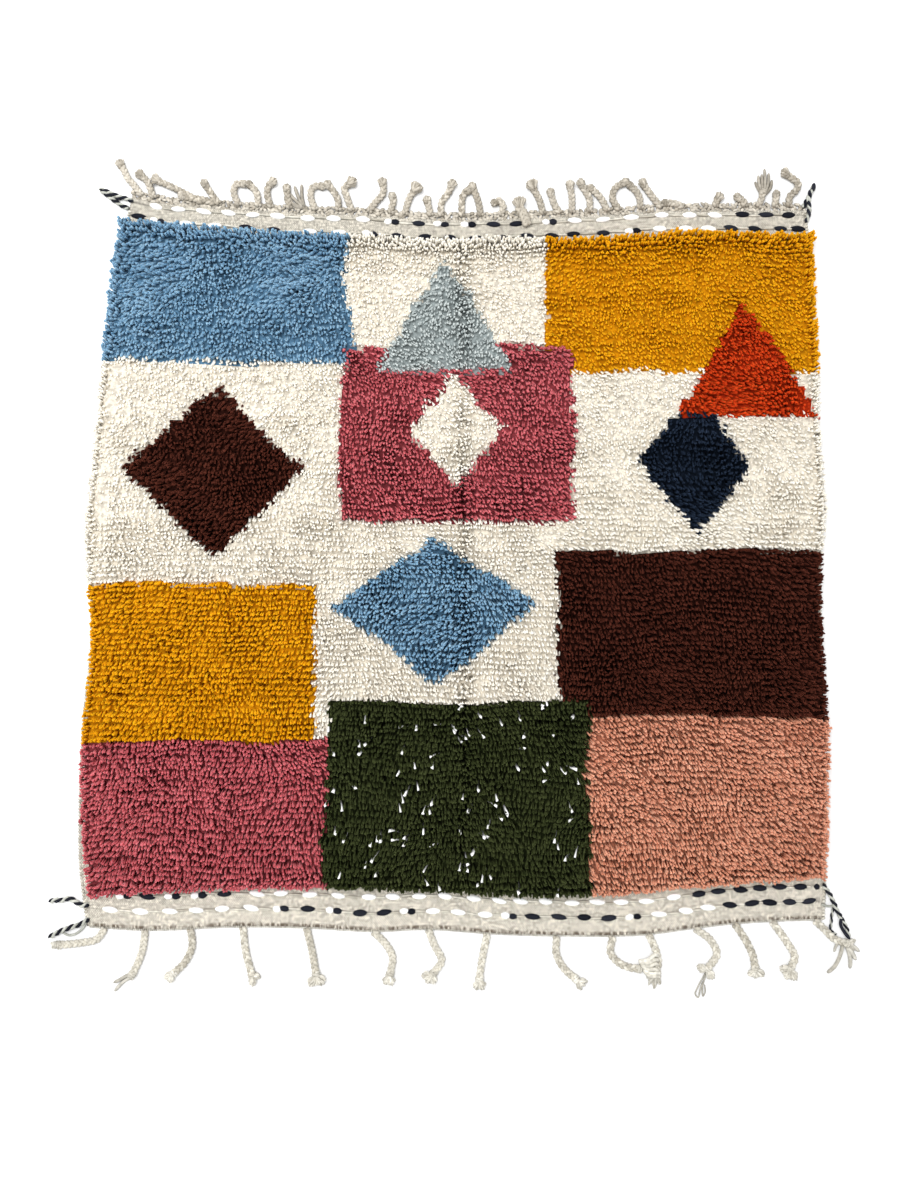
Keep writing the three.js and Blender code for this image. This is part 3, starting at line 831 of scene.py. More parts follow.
bed_finishes = [bed_finish(name, deep, root) for name, (deep, _, root) in YARNS.items()]
finish_piece(bed, bed_finishes, "pile_cream", "pile")
x, y, _ = np.array([face.center for face in bed.data.polygons]).T
bed.data.polygons.foreach_set("material_index", field_of(x, row_at(x, y)).astype(np.int32))

# %% [markdown]
# ## How the pile lies
#
# The look of a shag rug is in how its tufts lean. Each colour has its own habit here, because its
# yarn was spun and dyed on its own: the cream is thin and lies over towards the near end, the blue
# is thick and draws together in clumps, the rose turns more to the right, and the mustard hangs
# towards the near end in good order, like shingles. The table gives each habit. On top of it come
# slow swirls, small differences from row to row, a parting where the rug was once folded, a flatter
# far part, and an outward lean along the rim, where the yarn is shorter too.
#
# From above, the eye sees the tips. So the tips are spread evenly over the whole pile first, up to
# its measured outline, and each root is then found back from its tip. That closes the pile
# everywhere, as real pile does, also where its tufts turn away from each other. The knots are
# tied in rows across the rug, so the tips lie in rows too: each row of plump ends covers the roots
# of the row below it like shingles, and a thin dark line shows between them.

# %% Tips, and the habits of the yarns
# Thickness and length of a tuft as shares of the modelled one, how far in mm its tip stands off its
# root, the direction of its tip in degrees from +X, swirl in degrees, pull into clumps, and how far
# in mm a tip strays from its row
HABITS = {
    "cream": (1.06, 1.00, 22, -80, 26, 0.05, 0.8),
    "blue": (1.14, 1.00, 21, -92, 44, 0.13, 1.2),
    "grey_blue": (1.08, 1.00, 21, -84, 44, 0.13, 1.2),
    "rose": (1.04, 1.00, 20, -66, 30, 0.10, 1.0),
    "orange": (1.10, 1.00, 19, -80, 36, 0.14, 1.2),
    "navy": (1.06, 1.00, 20, -84, 36, 0.12, 1.2),
    "mustard": (1.10, 1.02, 22, -91, 18, 0.10, 0.8),
    "brown": (1.04, 1.00, 20, -84, 40, 0.10, 1.4),
    "salmon": (1.08, 1.02, 20, -68, 34, 0.12, 1.1),
    "green": (1.00, 1.02, 21, -90, 22, 0.08, 1.0),
}
TUFT_PITCH = 3.15 * MM
RIM_PITCH, CLUMP_PITCH = 2.2 * MM, 19 * MM
# How far in from the rim every root and the tips in rows are at least, and, in mm, how far in the
# tips round the rim are at least and at most
LEAST_INSET, RIM_INSETS = 3 * MM, (0.4, 7)
# For each side, how far the outermost tufts reach outwards and how deep that strip is, in mm
RIM = {(-1, 0): (15, 24), (1, 0): (15, 24), (0, -1): (16, 26), (0, 1): (9, 14)}
rng = np.random.default_rng(7)


def clumps(x, y, pitch, seed):
    """For each tip, the way to the middle of its clump, and two numbers of the clump's own."""
    rng = np.random.default_rng(seed)
    count = int(1.6 / pitch) + 2
    middles = rng.uniform(0.1, 0.9, (count, count, 2))
    own = rng.uniform(-1, 1, (count, count, 2))
    column, row = (((axis + 0.8) / pitch).astype(int) for axis in (x, y))
    nearest = np.full(len(x), 1e9)
    pull, mood = np.zeros((len(x), 2)), np.zeros((len(x), 2))
    for step_x, step_y in np.ndindex(3, 3):
        a, b = column + step_x - 1, row + step_y - 1
        way_x = (a + middles[a, b, 0]) * pitch - 0.8 - x
        way_y = (b + middles[a, b, 1]) * pitch - 0.8 - y
        distance = way_x**2 + way_y**2
        closer = distance < nearest
        nearest[closer] = distance[closer]
        pull[closer] = np.stack([way_x, way_y], 1)[closer]
        mood[closer] = own[a, b][closer]
    return pull, mood


def depth_in(x, y):
    """How far each place is in from the nearest rim of the pile."""
    return np.minimum.reduce(ways_in(PILE_EDGES, x, y))


def row_tips():
    """Places for tips in rows across the whole pile, and the row of each one."""
    row, x = np.meshgrid(np.arange(-72, 73), np.arange(-0.62, 0.62, TUFT_PITCH))
    row, x = row.ravel(), x.ravel()
    x = x + TUFT_PITCH * rng.uniform(-0.45, 0.45, len(x))
    y = row * KNOT_ROW
    y = y + row_wave(x, y) + 1.1 * MM * drift(0.25 * x, y, 0.022, 24)
    inside = depth_in(x, y) > LEAST_INSET
    return x[inside], y[inside], row[inside]


def rim_tips():
    """Places for tips close together round the rim, so that it is full and soft."""
    at = np.arange(-0.62, 0.62, RIM_PITCH)
    inset = rng.uniform(*RIM_INSETS, (4, len(at))) * MM + 1.2 * MM * drift(at, 0 * at, 0.02, 20)
    left, right, near, far = PILE_EDGES
    x = np.concatenate([left(at) + inset[0], right(at) - inset[1], at, at])
    y = np.concatenate([at, at, near(at) + inset[2], far(at) - inset[3]])
    inside = depth_in(x, y) > -2 * MM
    return x[inside], y[inside], row_at(x[inside], y[inside])


tip_x, tip_y, tip_row = (np.concatenate(pair) for pair in zip(row_tips(), rim_tips()))
colour_of = field_of(tip_x, tip_row)
count = len(tip_x)
habit = np.array([HABITS[name] for name in YARNS])[colour_of]
width, length, reach, heading, swirl, clumping, stray = habit.T
# The far part of the pile lies flatter, and its rows run into each other
far_part = blend_in(tip_y, -0.1, 0.3)
tip_y = tip_y + stray * (1 + 0.7 * far_part) * MM * rng.normal(0, 1, count)
to_rim = ways_in(PILE_EDGES, tip_x, tip_y)
print(count, "tufts")

# %% Leaning the tufts
PARTING_WIDTH, PARTING_LEAN = 11 * MM, 7 * MM

pull, mood = clumps(tip_x, tip_y, CLUMP_PITCH, 11)
heading = heading + swirl * drift(tip_x, tip_y, 0.2, 12) + 10 * mood[:, 0]
heading = np.radians(heading + rng.normal(0, 9, count))
of_row = rng.normal(0, 1, 400)[tip_row + 200]
uneven = 1 + 0.1 * drift(tip_x, tip_y, 0.11, 13) + 0.04 * of_row + rng.normal(0, 0.07, count)
upright = 1 - blend_in(to_rim[3], 0, 40 * MM)
reach = reach * uneven * (1 + 0.26 * far_part) * (1 - 0.4 * upright) * MM
stand_off = np.stack([np.cos(heading), np.sin(heading)], 1) * reach[:, None]

# The parting along the old fold
from_fold = tip_x - FOLD_X - 4 * MM * drift(tip_x, tip_y, 0.2, 15)
parting = np.exp(-((from_fold / PARTING_WIDTH) ** 2)) * (0.7 + 0.4 * drift(tip_x, tip_y, 0.3, 16))
parting = parting.clip(0, 1)[:, None]
away = np.stack([np.sign(from_fold), 0 * from_fold], 1)
stand_off = stand_off * (1 - 0.4 * parting) + away * parting * PARTING_LEAN

# The outward lean along the rim
for distance, (way, (rim_reach, depth)) in zip(to_rim, RIM.items()):
    wavy = distance + 0.2 * depth * MM * drift(tip_x, tip_y, 0.05, 22)
    share = (1 - blend_in(wavy, 3 * MM, depth * MM))[:, None]
    outward = np.array(way) * (rim_reach * MM - 0.4 * distance[:, None])
    outward = outward + rng.normal(0, 1.7 * MM, (count, 2))
    stand_off = stand_off * (1 - share) + outward * share


def keep_inside(stand_off):
    """No root lies outside the pile."""
    for distance, way in zip(to_rim, RIM):
        beyond = (LEAST_INSET - distance - stand_off @ way).clip(0, None)
        stand_off = stand_off + beyond[:, None] * way
    return stand_off


# A bent tuft can't end right over its root, so one with a short reach also goes aside
picks = rng.integers(0, len(BENDS), count)
hang = np.array([bend[0] for bend in BENDS])[picks] * MM
stand_off = keep_inside(stand_off)
straight = np.hypot(*stand_off.T)
aside = np.sqrt(((hang * width) ** 2 - straight**2).clip(0, None)) * rng.choice((-1, 1), count)
stand_off += np.stack([-stand_off[:, 1], stand_off[:, 0]], 1) * (aside / straight)[:, None]
stand_off = keep_inside(stand_off)
roots = np.stack([tip_x, tip_y], 1) - stand_off

# Tips draw together in clumps
clumping = clumping * blend_in(np.minimum.reduce(to_rim), 4 * MM, 30 * MM)
tips = np.stack([tip_x, tip_y], 1) + pull * clumping[:, None] * (1 + 0.4 * mood[:, 1:])
tips += away * parting * 1.2 * MM
way = tips - roots
reach = np.hypot(*way.T)
print("Mean reach of the tips:", round(float(reach.mean()) * 1000, 1), "mm")

# %% The turn and size of each tuft
# The least and the most that a tuft leans, as sines, and how high the roots are
LEAST_LEAN, MOST_LEAN = 0.03, 0.7
ROOT_FOOT, ROOT_RISE = 4.5 * MM, 4.5 * MM

length = length * (1 + 0.04 * mood[:, 1] + rng.normal(0, 0.035, count))
left, right, near, far = to_rim
inward = np.minimum.reduce([left, right, near + 6 * MM, far])
length = length * (0.72 + 0.28 * blend_in(inward, 0, 30 * MM))
width = width * (1 + rng.normal(0, 0.09, count))
lean_angle = np.zeros(count)
for _ in range(6):
    sine = (reach - hang * width * np.cos(lean_angle)) / (TUFT_LENGTH * length)
    lean_angle = np.arcsin(sine.clip(LEAST_LEAN, MOST_LEAN))
turns = np.stack([0 * lean_angle, lean_angle, np.arctan2(way[:, 1], way[:, 0])], 1)
sizes = np.stack([width, width, length], 1)
# Dye is uneven from one stretch of yarn to the next, so its streaks run along the rows
streaks = 0.12 * drift(0.2 * tip_x, tip_y, 0.03, 17) + 0.07 * of_row
shades = (0.5 + 0.1 * mood[:, 1] + streaks + rng.normal(0, 0.16, count)).clip(0, 1)
# The roots sit on the slope of the mat
left, right, near, far = ways_in(PILE_EDGES, *roots.T)
inward = np.minimum.reduce([left, right, near, 2 * far])
root_z = ROOT_FOOT + ROOT_RISE * blend_in(inward, 14 * MM, 34 * MM)
roots = np.concatenate([roots, root_z[:, None]], 1)
print("Mean lean:", round(math.degrees(float(lean_angle.mean()))), "degrees")

# %% [markdown]
# ## Planting the pile, colour by colour
#
# Each colour is a piece of its own with its own finish, so that a scene can repaint it. The cream
# is the largest field, and is planted as a far and a near half to keep every mesh a handy size.

# %% One piece of pile for each colour
for number, name in enumerate(YARNS):
    halves = {"": colour_of == number}
    if name == "cream":
        halves = {"_far": halves[""] & (tip_y > 0.1), "_near": halves[""] & (tip_y <= 0.1)}
    for half, chosen in halves.items():
        piece = plant_all("pile_" + name + half, tufts, roots[chosen], turns[chosen],
                          sizes[chosen], shades[chosen], picks[chosen])
        finish_piece(piece, pile_finishes[name], "pile_" + name, "pile")

# %% [markdown]
# ### White flecks in the green
#
# In the dark green field a few knots were tied with bleached yarn. They are the same tufts in
# another wool, often a little fatter, and set higher, so that they lie over their neighbours.

# %% White flecks
FLECKS = 95
green = np.flatnonzero(colour_of == list(YARNS).index("green"))
chosen = rng.choice(green, FLECKS, replace=False)
fleck_turns = turns[chosen] + flat_turns(rng.normal(0, 0.6, FLECKS))
fat, tall = rng.uniform(0.95, 1.45, FLECKS), rng.uniform(0.95, 1.1, FLECKS)
fleck_piece = plant_all("pile_white_flecks", tufts, roots[chosen] + [0, 0, 3 * MM], fleck_turns,
                        np.stack([fat, fat, tall], 1), rng.uniform(0.3, 1, FLECKS), picks[chosen])
finish_piece(fleck_piece, white_finish, "twining_white", "pile")

# %% [markdown]
# ## The twining: thick yarns that float over the cloth
#
# At each end two thick yarns, one white and one black, run across the warps and come up as short
# fat stitches. Where both come up together, a stitch is half white and half black. One stitch is a
# ball drawn out to a lens with pointed ends; the yarn dives into the cloth there. Between two
# stitches a thin pale yarn shows, which is the same shape, only slimmer.


# %% One float of thick yarn
def make_lens(name, rings, around, length, width, height):
    """A lens of yarn that lies along X on the floor, fullest in its middle."""
    add = bpy.ops.mesh.primitive_uv_sphere_add
    lens = new_shape(name, add, segments=around, ring_count=rings, radius=0.5)
    edit_all()
    bpy.ops.transform.rotate(value=math.radians(90), orient_axis="Y", center_override=(0, 0, 0))
    bpy.ops.object.mode_set(mode="OBJECT")
    for corner in lens.data.vertices:
        fullness = 1 - 0.2 * (corner.co.x * 2) ** 2
        corner.co.y *= fullness
        corner.co.z *= fullness if corner.co.z > 0 else 0.6
    edit_all()
    bpy.ops.transform.resize(value=(length, width, height), center_override=(0, 0, 0))
    close_up()
    lens.data.uv_layers["UVMap"].name = "OFBake"
    # Painted shade: the lens darkens towards the floor, below its fullest part
    tall = points_of(lens)[:, 2] / (height / 2)
    write_values(lens.data, along=(0.4 + 0.6 * tall).clip(0, 1))
    return lens


float_stems = shelve("floats", [make_lens("float", 8, 12, 25 * MM, 10.5 * MM, 7 * MM)])
link_stems = shelve("links", [make_lens("link", 5, 6, 25 * MM, 10.5 * MM, 7 * MM)])
stitch_stems = shelve("stitches", [make_lens("stitch", 4, 6, 7 * MM, 2.7 * MM, 3 * MM)])

# %% [markdown]
# ### Where the floats come up
#
# Their places were read from the photo along each row, with the colour of each one: w for white,
# b for black, h for half of each and s for a short black one. They aren't evenly spaced, because
# they were counted one by one.

# %% Rows of floats
# For each row its edge, its way in from there, whether that goes up or down the rug, the colours
# of its floats and their places in mm
TWINING = [
    (near_edge, NEAR_ROWS[0], 1, "wwwwwwhbhbbhwwwhbbbbhwwwbbbbb",
     [-550, -502, -455, -413, -372, -326, -279, -236, -195, -153, -115, -77, -37, 3, 46, 84, 121,
      163, 203, 242, 281, 322, 365, 400, 435, 470, 498, 530, 561]),
    (near_edge, NEAR_ROWS[1], 1, "whbhhbwwwwwwwwwwwwwwwwwbbbbbbs",
     [-567, -529, -492, -452, -410, -369, -317, -279, -233, -188, -139, -101, -59, -18, 28, 68,
      102, 142, 184, 224, 262, 302, 346, 386, 417, 452, 483, 515, 548, 574]),
    (far_edge, FAR_ROWS[0], -1, "wwwwwwwwwhbhhbbhwwwwwwbbb",
     [-510, -472, -429, -387, -345, -303, -252, -208, -158, -109, -63, -25, 21, 64, 103, 159, 202,
      250, 298, 350, 397, 440, 487, 527, 565]),
    (far_edge, FAR_ROWS[1], -1, "bhwwbbwwhbbbbbbbbbhwwwbbbb",
     [-539, -507, -460, -410, -356, -309, -248, -199, -146, -99, -52, -10, 34, 78, 121, 163, 199,
      250, 300, 346, 390, 429, 467, 507, 551, 580]),
]
# The parts of a float: how far aside in mm, how long as a share of a whole one, and the colour
PARTS = {
    "w": [(0, 1.0, "w")],
    "b": [(0, 1.0, "b")],
    "h": [(-6, 0.6, "w"), (6, 0.6, "b")],
    "s": [(0, 0.4, "b")],
}


def slope_of(edge, at):
    """The angle between an edge and its axis at a place."""
    return np.arctan2(edge(at + MM) - edge(at), MM)


def on_row(edge, x, inward, size):
    """A float beside an edge: its place, the slope of the edge there and its size."""
    return (x, edge(x) + inward * MM, slope_of(edge, x), *size)


floats = {"w": [], "b": [], "link": []}
for edge, inward, way, colours, places in TWINING:
    for number, (x, colour) in enumerate(zip(places, colours)):
        for shift, share, tone in PARTS[colour]:
            size = (share * rng.uniform(0.9, 1.12), rng.uniform(0.88, 1.08), rng.uniform(0.9, 1.1))
            so_far_in = (inward + rng.uniform(-1, 1)) * way
            floats[tone].append(on_row(edge, (x + shift) * MM, so_far_in, size))
        if number:
            last = places[number - 1]
            size = ((x - last - 15) / 24, 0.4, 0.7)
            so_far_in = (inward + rng.uniform(-1.5, 1.5)) * way
            floats["link"].append(on_row(edge, (x + last) / 2 * MM, so_far_in, size))


def place_floats(name, kind, stems, finish, slot, tilt=5):
    """Plants the floats of one kind, each one turned along its edge."""
    rows = np.array(floats[kind], float)
    x, y, slope = rows[:, :3].T
    heading = slope + np.radians(rng.normal(-0.6 * tilt, tilt, len(rows)))
    spots = np.stack([x, y, np.full(len(x), GROUND_TOP)], 1)
    shades = rng.uniform(0.2, 0.9, len(rows))
    piece = plant_all(name, stems, spots, flat_turns(heading), rows[:, 3:], shades)
    return finish_piece(piece, finish, slot, "woven_ground")


twining_pieces = [
    place_floats("twining_floats_white", "w", float_stems, white_finish, "twining_white"),
    place_floats("twining_floats_black", "b", float_stems, black_finish, "twining_black"),
    place_floats("twining_links", "link", link_stems, braid_finish, "ground", 2),
]

# %% [markdown]
# ## Edges bound with stitches
#
# The sides and the near end are bound: a yarn goes round the outermost threads again and again,
# and lies there as a row of small slanting stitches. Planting a small lens every few millimetres
# along the edge gives the same ribbed cord.


# %% Bound sides and chained near edge
def bind_edge(name, x, y, height, headings, slant, size, node):
    """A row of small stitches across an edge, each one turned from the edge by a slant."""
    count = len(headings)
    heading = headings + math.radians(slant) + np.radians(rng.normal(0, 7, count))
    sizes = np.array(size) * rng.uniform(0.9, 1.12, (count, 3))
    spots = np.stack([x, y, np.full(count, height)], 1)
    shades = rng.uniform(0.1, 0.9, count)
    piece = plant_all(name, stitch_stems, spots, flat_turns(heading), sizes, shades)
    return finish_piece(piece, braid_finish, "ground", node)


y = np.arange(-0.578, 0.594, 5.2 * MM)
bound_pieces = [
    bind_edge("bound_side_" + side, edge(y) + inside * 1.2 * MM, y, 2.6 * MM, -slope_of(edge, y),
              24, (1.0, 1.9, 1.25), "woven_ground")
    for side, edge, inside in (("left", left_edge, 1), ("right", right_edge, -1))
]
x = np.arange(-0.582, 0.582, 3.2 * MM)
bound_pieces.append(
    bind_edge("chained_edge_near", x, near_edge(x) - 1.0 * MM, 2.2 * MM,
              slope_of(near_edge, x) + math.pi / 2, 18, (0.62, 0.95, 1.0), "fringe_near")
)

# %% [markdown]
# ## Yarns that are laid along a line
#
# A plait, a knot and a twisted tie are all yarns that follow a line. In Blender a yarn is a curve
# with a round bevel: its points give the line, and each point may be thicker or thinner. The curve
# is then converted, so that it ends as a plain closed mesh. In a plait each of three strands
# swings from side to side once while it goes up and down twice, and each one is a third of a swing
# behind the last. In a twist the strands simply go round each other.

# %% Plaits, twists and loose ends
UP = np.array([0, 0, 1])


def unit(ways):
    """The same ways, each one 1 m long."""
    return ways / np.linalg.norm(ways, axis=-1, keepdims=True)


def lengths_along(line):
    """How far along a line each of its points is."""
    return np.concatenate([[0], np.cumsum(np.linalg.norm(np.diff(line, axis=0), axis=1))])


def even_line(points, step):
    """Points at about even steps on a smooth line through a few points, in metres."""
    points = np.array(points, float)
    chord = lengths_along(points)
    at = np.linspace(0, chord[-1], max(4, math.ceil(chord[-1] / step) + 1))
    return np.stack([smooth_through(np.stack([chord, axis], 1), at) for axis in points.T], 1)


def frame_of(line):
    """For each point of a line on the floor: how far along it is, and the way to its left."""
    forward = unit(np.gradient(line, axis=0))
    left = np.stack([-forward[:, 1], forward[:, 0], 0 * forward[:, 0]], 1)
    return lengths_along(line), unit(left)


def plait(line, width, height, strand, cycle=22 * MM):
    """Three strands that plait along a line: a list of (points, radii)."""
    along, left = frame_of(line)
    strands = []
    for third in range(3):
        phase = math.tau * (along / cycle + third / 3)
        sideways = np.sin(phase) * (width - strand) / 2
        upwards = np.sin(2 * phase) * (height - strand) / 2
        points = line + left * sideways[:, None] + UP * upwards[:, None]
        strands.append((points, np.full(len(line), strand / 2)))
    return strands


def yarn_piece(name, yarns):
    """One mesh of many yarns, each one (points, radii), with a shade for each yarn."""
    data = bpy.data.curves.new(name, "CURVE")
    data.dimensions = "3D"
    data.bevel_depth = 1
    data.bevel_resolution = 1
    data.use_fill_caps = True
    for points, radii in yarns:
        points[:, 2] = np.maximum(points[:, 2], radii)
        spline = data.splines.new("POLY")
        spline.points.add(len(points) - 1)
        flat = np.concatenate([points, np.ones((len(points), 1))], 1)
        spline.points.foreach_set("co", flat.ravel())
        spline.points.foreach_set("radius", np.asarray(radii, float))
    piece = bpy.data.objects.new(name, data)
    bpy.context.scene.collection.objects.link(piece)
    select_only(piece)
    bpy.ops.object.convert(target="MESH")
    piece = bpy.context.active_object
    # Each ring of the mesh has six points. It lists the end caps of the yarns first, from the
    # last yarn to the first one, and then all of their rings, from the first yarn to the last one
    ring = 6
    numbers = np.arange(len(yarns))
    lengths = [ring * len(points) for points, _ in yarns]
    owner = np.concatenate([np.repeat(numbers[::-1], 2 * ring), np.repeat(numbers, lengths)])
    own_shade = rng.uniform(0.15, 0.9, len(yarns))
    # Painted shade: the lower a point of a yarn lies, the darker its finish, as in the crevices of
    # a plait
    heights = points_of(piece)[:, 2]
    along = 0.3 + 0.7 * (heights / (0.8 * heights.max())).clip(0, 1)
    write_values(piece.data, shade=own_shade[owner], along=along, yarn=owner)
    edit_all()
    bpy.ops.mesh.remove_doubles(threshold=1e-6)
    close_up()
    return piece


print("Ready to plait")

# %% [markdown]
# ## The braided tassels of the near end
#
# The warps of the near end are gathered into fifteen braids. Each one wanders over the floor and
# ends in a soft head, where its cut yarns spread out like a mushroom, mostly in two or three lobes.
# The rows below were measured on the photo: where a braid leaves the edge, its route as (right,
# out) steps from there, and the lobes of its head, each one as its turn away from the braid in
# degrees, how far it reaches and how wide it is, in mm. The far braids have small heads, given as
# one width before the route, as a share of the braid's own.

# %% Where the tassels run
NEAR_BRAIDS = [
    (-557, [(-12, 18), (-33, 23), (-58, 26), (-74, 27)], [(-20, 12, 11), (25, 11, 10)]),
    (-493, [(-4, 34), (-16, 64), (-19, 70)], [(-60, 8, 10), (30, 8, 10)]),
    (-421, [(3, 27), (-7, 51), (-26, 70)], [(-20, 14, 15), (22, 14, 15)]),
    (-338, [(5, 39), (16, 76)], [(-12, 16, 15), (68, 14, 13)]),
    (-237, [(9, 37), (16, 74)], [(-45, 18, 19), (42, 18, 20)]),
    (-131, [(18, 19), (30, 39), (26, 68)], [(-22, 16, 16), (20, 16, 17)]),
    (-44, [(10, 27), (21, 48), (6, 70)], [(-46, 17, 16), (4, 16, 16), (50, 15, 15)]),
    (49, [(-8, 39), (-13, 72)], [(-18, 16, 15), (34, 16, 16)]),
    (159, [(-1, 28), (12, 52), (31, 68)], [(-28, 18, 12), (0, 17, 12), (28, 18, 12)]),
    (248, [(-4, 27), (9, 42), (26, 49), (42, 51)], []),
    (305, [(11, 27), (14, 44), (9, 62)],
     [(-50, 16, 10), (-18, 20, 10), (12, 23, 10), (44, 19, 10)]),
    (379, [(24, 20), (33, 40), (20, 60), (16, 65)], [(-76, 17, 16), (74, 17, 16)]),
    (442, [(18, 30), (27, 51), (30, 72)], [(-62, 15, 14), (-6, 13, 13), (54, 16, 15)]),
    (501, [(22, 33), (34, 57), (25, 75)], [(-66, 17, 17), (0, 16, 17), (60, 18, 17)]),
    (569, [(12, 13), (31, 31), (50, 37)], [(-28, 15, 11), (40, 15, 11)]),
]
FAR_BRAIDS = [
    (-535, 1.3, [(-14, 25), (-25, 38), (-31, 51), (-37, 61)]),
    (-514, 1.4, [(-6, 22), (-11, 35), (-23, 46)]),
    (-432, 1.5, [(-23, 19), (-46, 31), (-76, 45)]),
    (-410, 1.0, [(-20, 13), (-40, 15), (-58, 19)]),
    (-403, 1.2, [(-12, 22), (-25, 42)]),
    (-369, 1.1, [(-9, 32), (-5, 43), (8, 44)]),
    (-336, 1.1, [(-4, 32), (-17, 46)]),
    (-314, 1.4, [(-7, 30), (-5, 44), (1, 49)]),
    (-283, 1.2, [(-3, 24), (-5, 42)]),
    (-239, 1.1, [(-8, 30), (-6, 44), (5, 49), (12, 47)]),
    (-200, 1.2, [(-1, 26), (-10, 42), (-18, 52)]),
    (-177, 1.6, [(-9, 32), (-13, 46), (-3, 54)]),
    (-148, 1.3, [(12, 23), (23, 36), (25, 48), (23, 57)]),
    (-111, 1.2, [(2, 18), (5, 26), (3, 36)]),
    (-87, 1.8, [(5, 26), (12, 42), (17, 48)]),
    (-43, 1.2, [(-3, 20), (-6, 33)]),
    (-26, 1.4, [(2, 30), (14, 48), (19, 60)]),
    (10, 1.1, [(0, 28), (3, 44), (11, 51)]),
    (42, 1.3, [(-4, 31), (-10, 48), (-14, 56)]),
    (76, 1.1, [(4, 24), (-2, 32), (-11, 28)]),
    (112, 1.9, [(-3, 10), (-4, 20)]),
    (148, 1.7, [(-6, 30), (-17, 52)]),
    (176, 1.2, [(-9, 22), (-15, 43)]),
    (197, 1.3, [(0, 36), (-3, 54)]),
    (227, 1.3, [(0, 29), (-9, 47), (-14, 55)]),
    (257, 1.1, [(-10, 28), (-28, 47)]),
    (277, 1.2, [(-11, 29), (-5, 46), (11, 55)]),
    (313, 1.0, [(-1, 26), (-11, 42), (-18, 48)]),
    (348, 1.4, [(-17, 29), (-29, 47)]),
    (386, 1.0, [(-16, 12), (-32, 13)]),
    (441, 1.3, [(1, 14), (6, 22)]),
    (490, 1.2, [(-1, 15), (-11, 22)]),
    (513, 1.0, [(6, 18), (10, 33)]),
    (541, 1.0, [(3, 18), (4, 30)]),
    (566, 1.4, [(2, 24), (14, 36), (17, 46), (6, 57), (-4, 64)]),
]
BRAID_WIDTH, NEAR_HEIGHT, FAR_HEIGHT = 13 * MM, 9 * MM, 9.5 * MM
print(len(NEAR_BRAIDS), "near tassels and", len(FAR_BRAIDS), "far ones")


# %% Making a tassel: plait, knot and head
def turned_by(way, angle):
    """A way on the floor, turned to its left by an angle."""
    cosine, sine = math.cos(angle), math.sin(angle)
    return np.array([way[0] * cosine - way[1] * sine, way[0] * sine + way[1] * cosine, 0])


def wrap_knot(centre, forward, width, height, strand):
    """The two turns of yarn that tie off a braid, round its end."""
    turn = np.linspace(0, math.tau * 2.1, 20)
    left = turned_by(forward, math.pi / 2)
    swing = np.sin(turn)[:, None] * left * (width - strand) / 2
    rise = np.cos(turn)[:, None] * UP * (height - strand) / 2
    drawn = np.linspace(-0.5, 0.5, len(turn))[:, None] * forward * strand * 1.7
    return centre + swing + rise + drawn, np.full(len(turn), strand / 2)


def lobe(start, way, reach, breadth, height, thick=3.3 * MM):
    """Cut yarn ends that spread like a mushroom round a way."""
    ends = []
    count = max(5, int(round(1.15 * breadth * height / thick**2)))
    left = turned_by(way, math.pi / 2)
    shares = np.array([0, 0.3, 0.62, 0.88, 1.0])
    spread = np.array([0.1, 0.45, 0.85, 1.05, 1.1])
    radii = np.array([0.7, 1.0, 1.08, 0.9, 0.4]) * thick / 2
    for number in range(count):
        angle = number * 2.4 + rng.normal(0, 0.25)
        out = math.sqrt((number + 0.5) / count)
        across = out * math.cos(angle) * (breadth - thick) / 2
        up = out * math.sin(angle) * (height - thick) / 2
        long = reach * (1 - 0.42 * out**2 + rng.normal(0, 0.05))
        points = start + way * (long * shares)[:, None] + left * (across * spread)[:, None]
        points[:, 2] = np.maximum(thick / 2, height / 2 + up * spread)
        ends.append((points, radii))
    return ends


def tassel(x, route, edge, outward, root, height):
    """The strands and the knot of one braid, and the end and heading of it."""
    strand = 0.41 * BRAID_WIDTH
    edge_y = float(edge(x * MM))
    spots = [(x * MM, edge_y + outward * root, height / 2)]
    for right, out in route:
        spots.append(((x + right) * MM, edge_y + outward * out * MM, height / 2))
    line = even_line(spots, 2.5 * MM)
    end, forward = line[-1], unit(line[-1] - line[-3])
    knot = wrap_knot(end - forward * 2 * MM, forward, BRAID_WIDTH * 1.12, height * 1.15,
                     strand * 0.8)
    return plait(line, BRAID_WIDTH, height, strand), knot, end, forward


def loose_yarn(spots, thick, high=2.2):
    """A single yarn through some places on the floor in mm, with a fine end."""
    line = even_line([(x * MM, y * MM, high * MM) for x, y in spots], 3 * MM)
    radii = np.full(len(line), thick / 2 * MM)
    radii[-2:] *= (0.9, 0.5)
    return line, radii


near_plaits, near_ends = [], []
for x, route, lobes in NEAR_BRAIDS:
    strands, knot, end, forward = tassel(x, route, near_edge, -1, 2 * MM, NEAR_HEIGHT)
    near_plaits += strands
    near_ends.append(knot)
    for angle, reach, breadth in lobes:
        way = turned_by(forward, math.radians(angle))
        near_ends += lobe(end, way, reach * MM, breadth * MM, 0.8 * breadth * MM)
finish_piece(yarn_piece("near_braids", near_plaits), braid_finish, "braid", "fringe_near")

# %% [markdown]
# ### Loose yarns and the shared knot
#
# Some of the near tassels end in longer loose yarns, and two braids meet in one knot, where a
# bundle of six yarns fans out from the end of one braid and goes over the other. All of them are
# laid through points read from the photo.

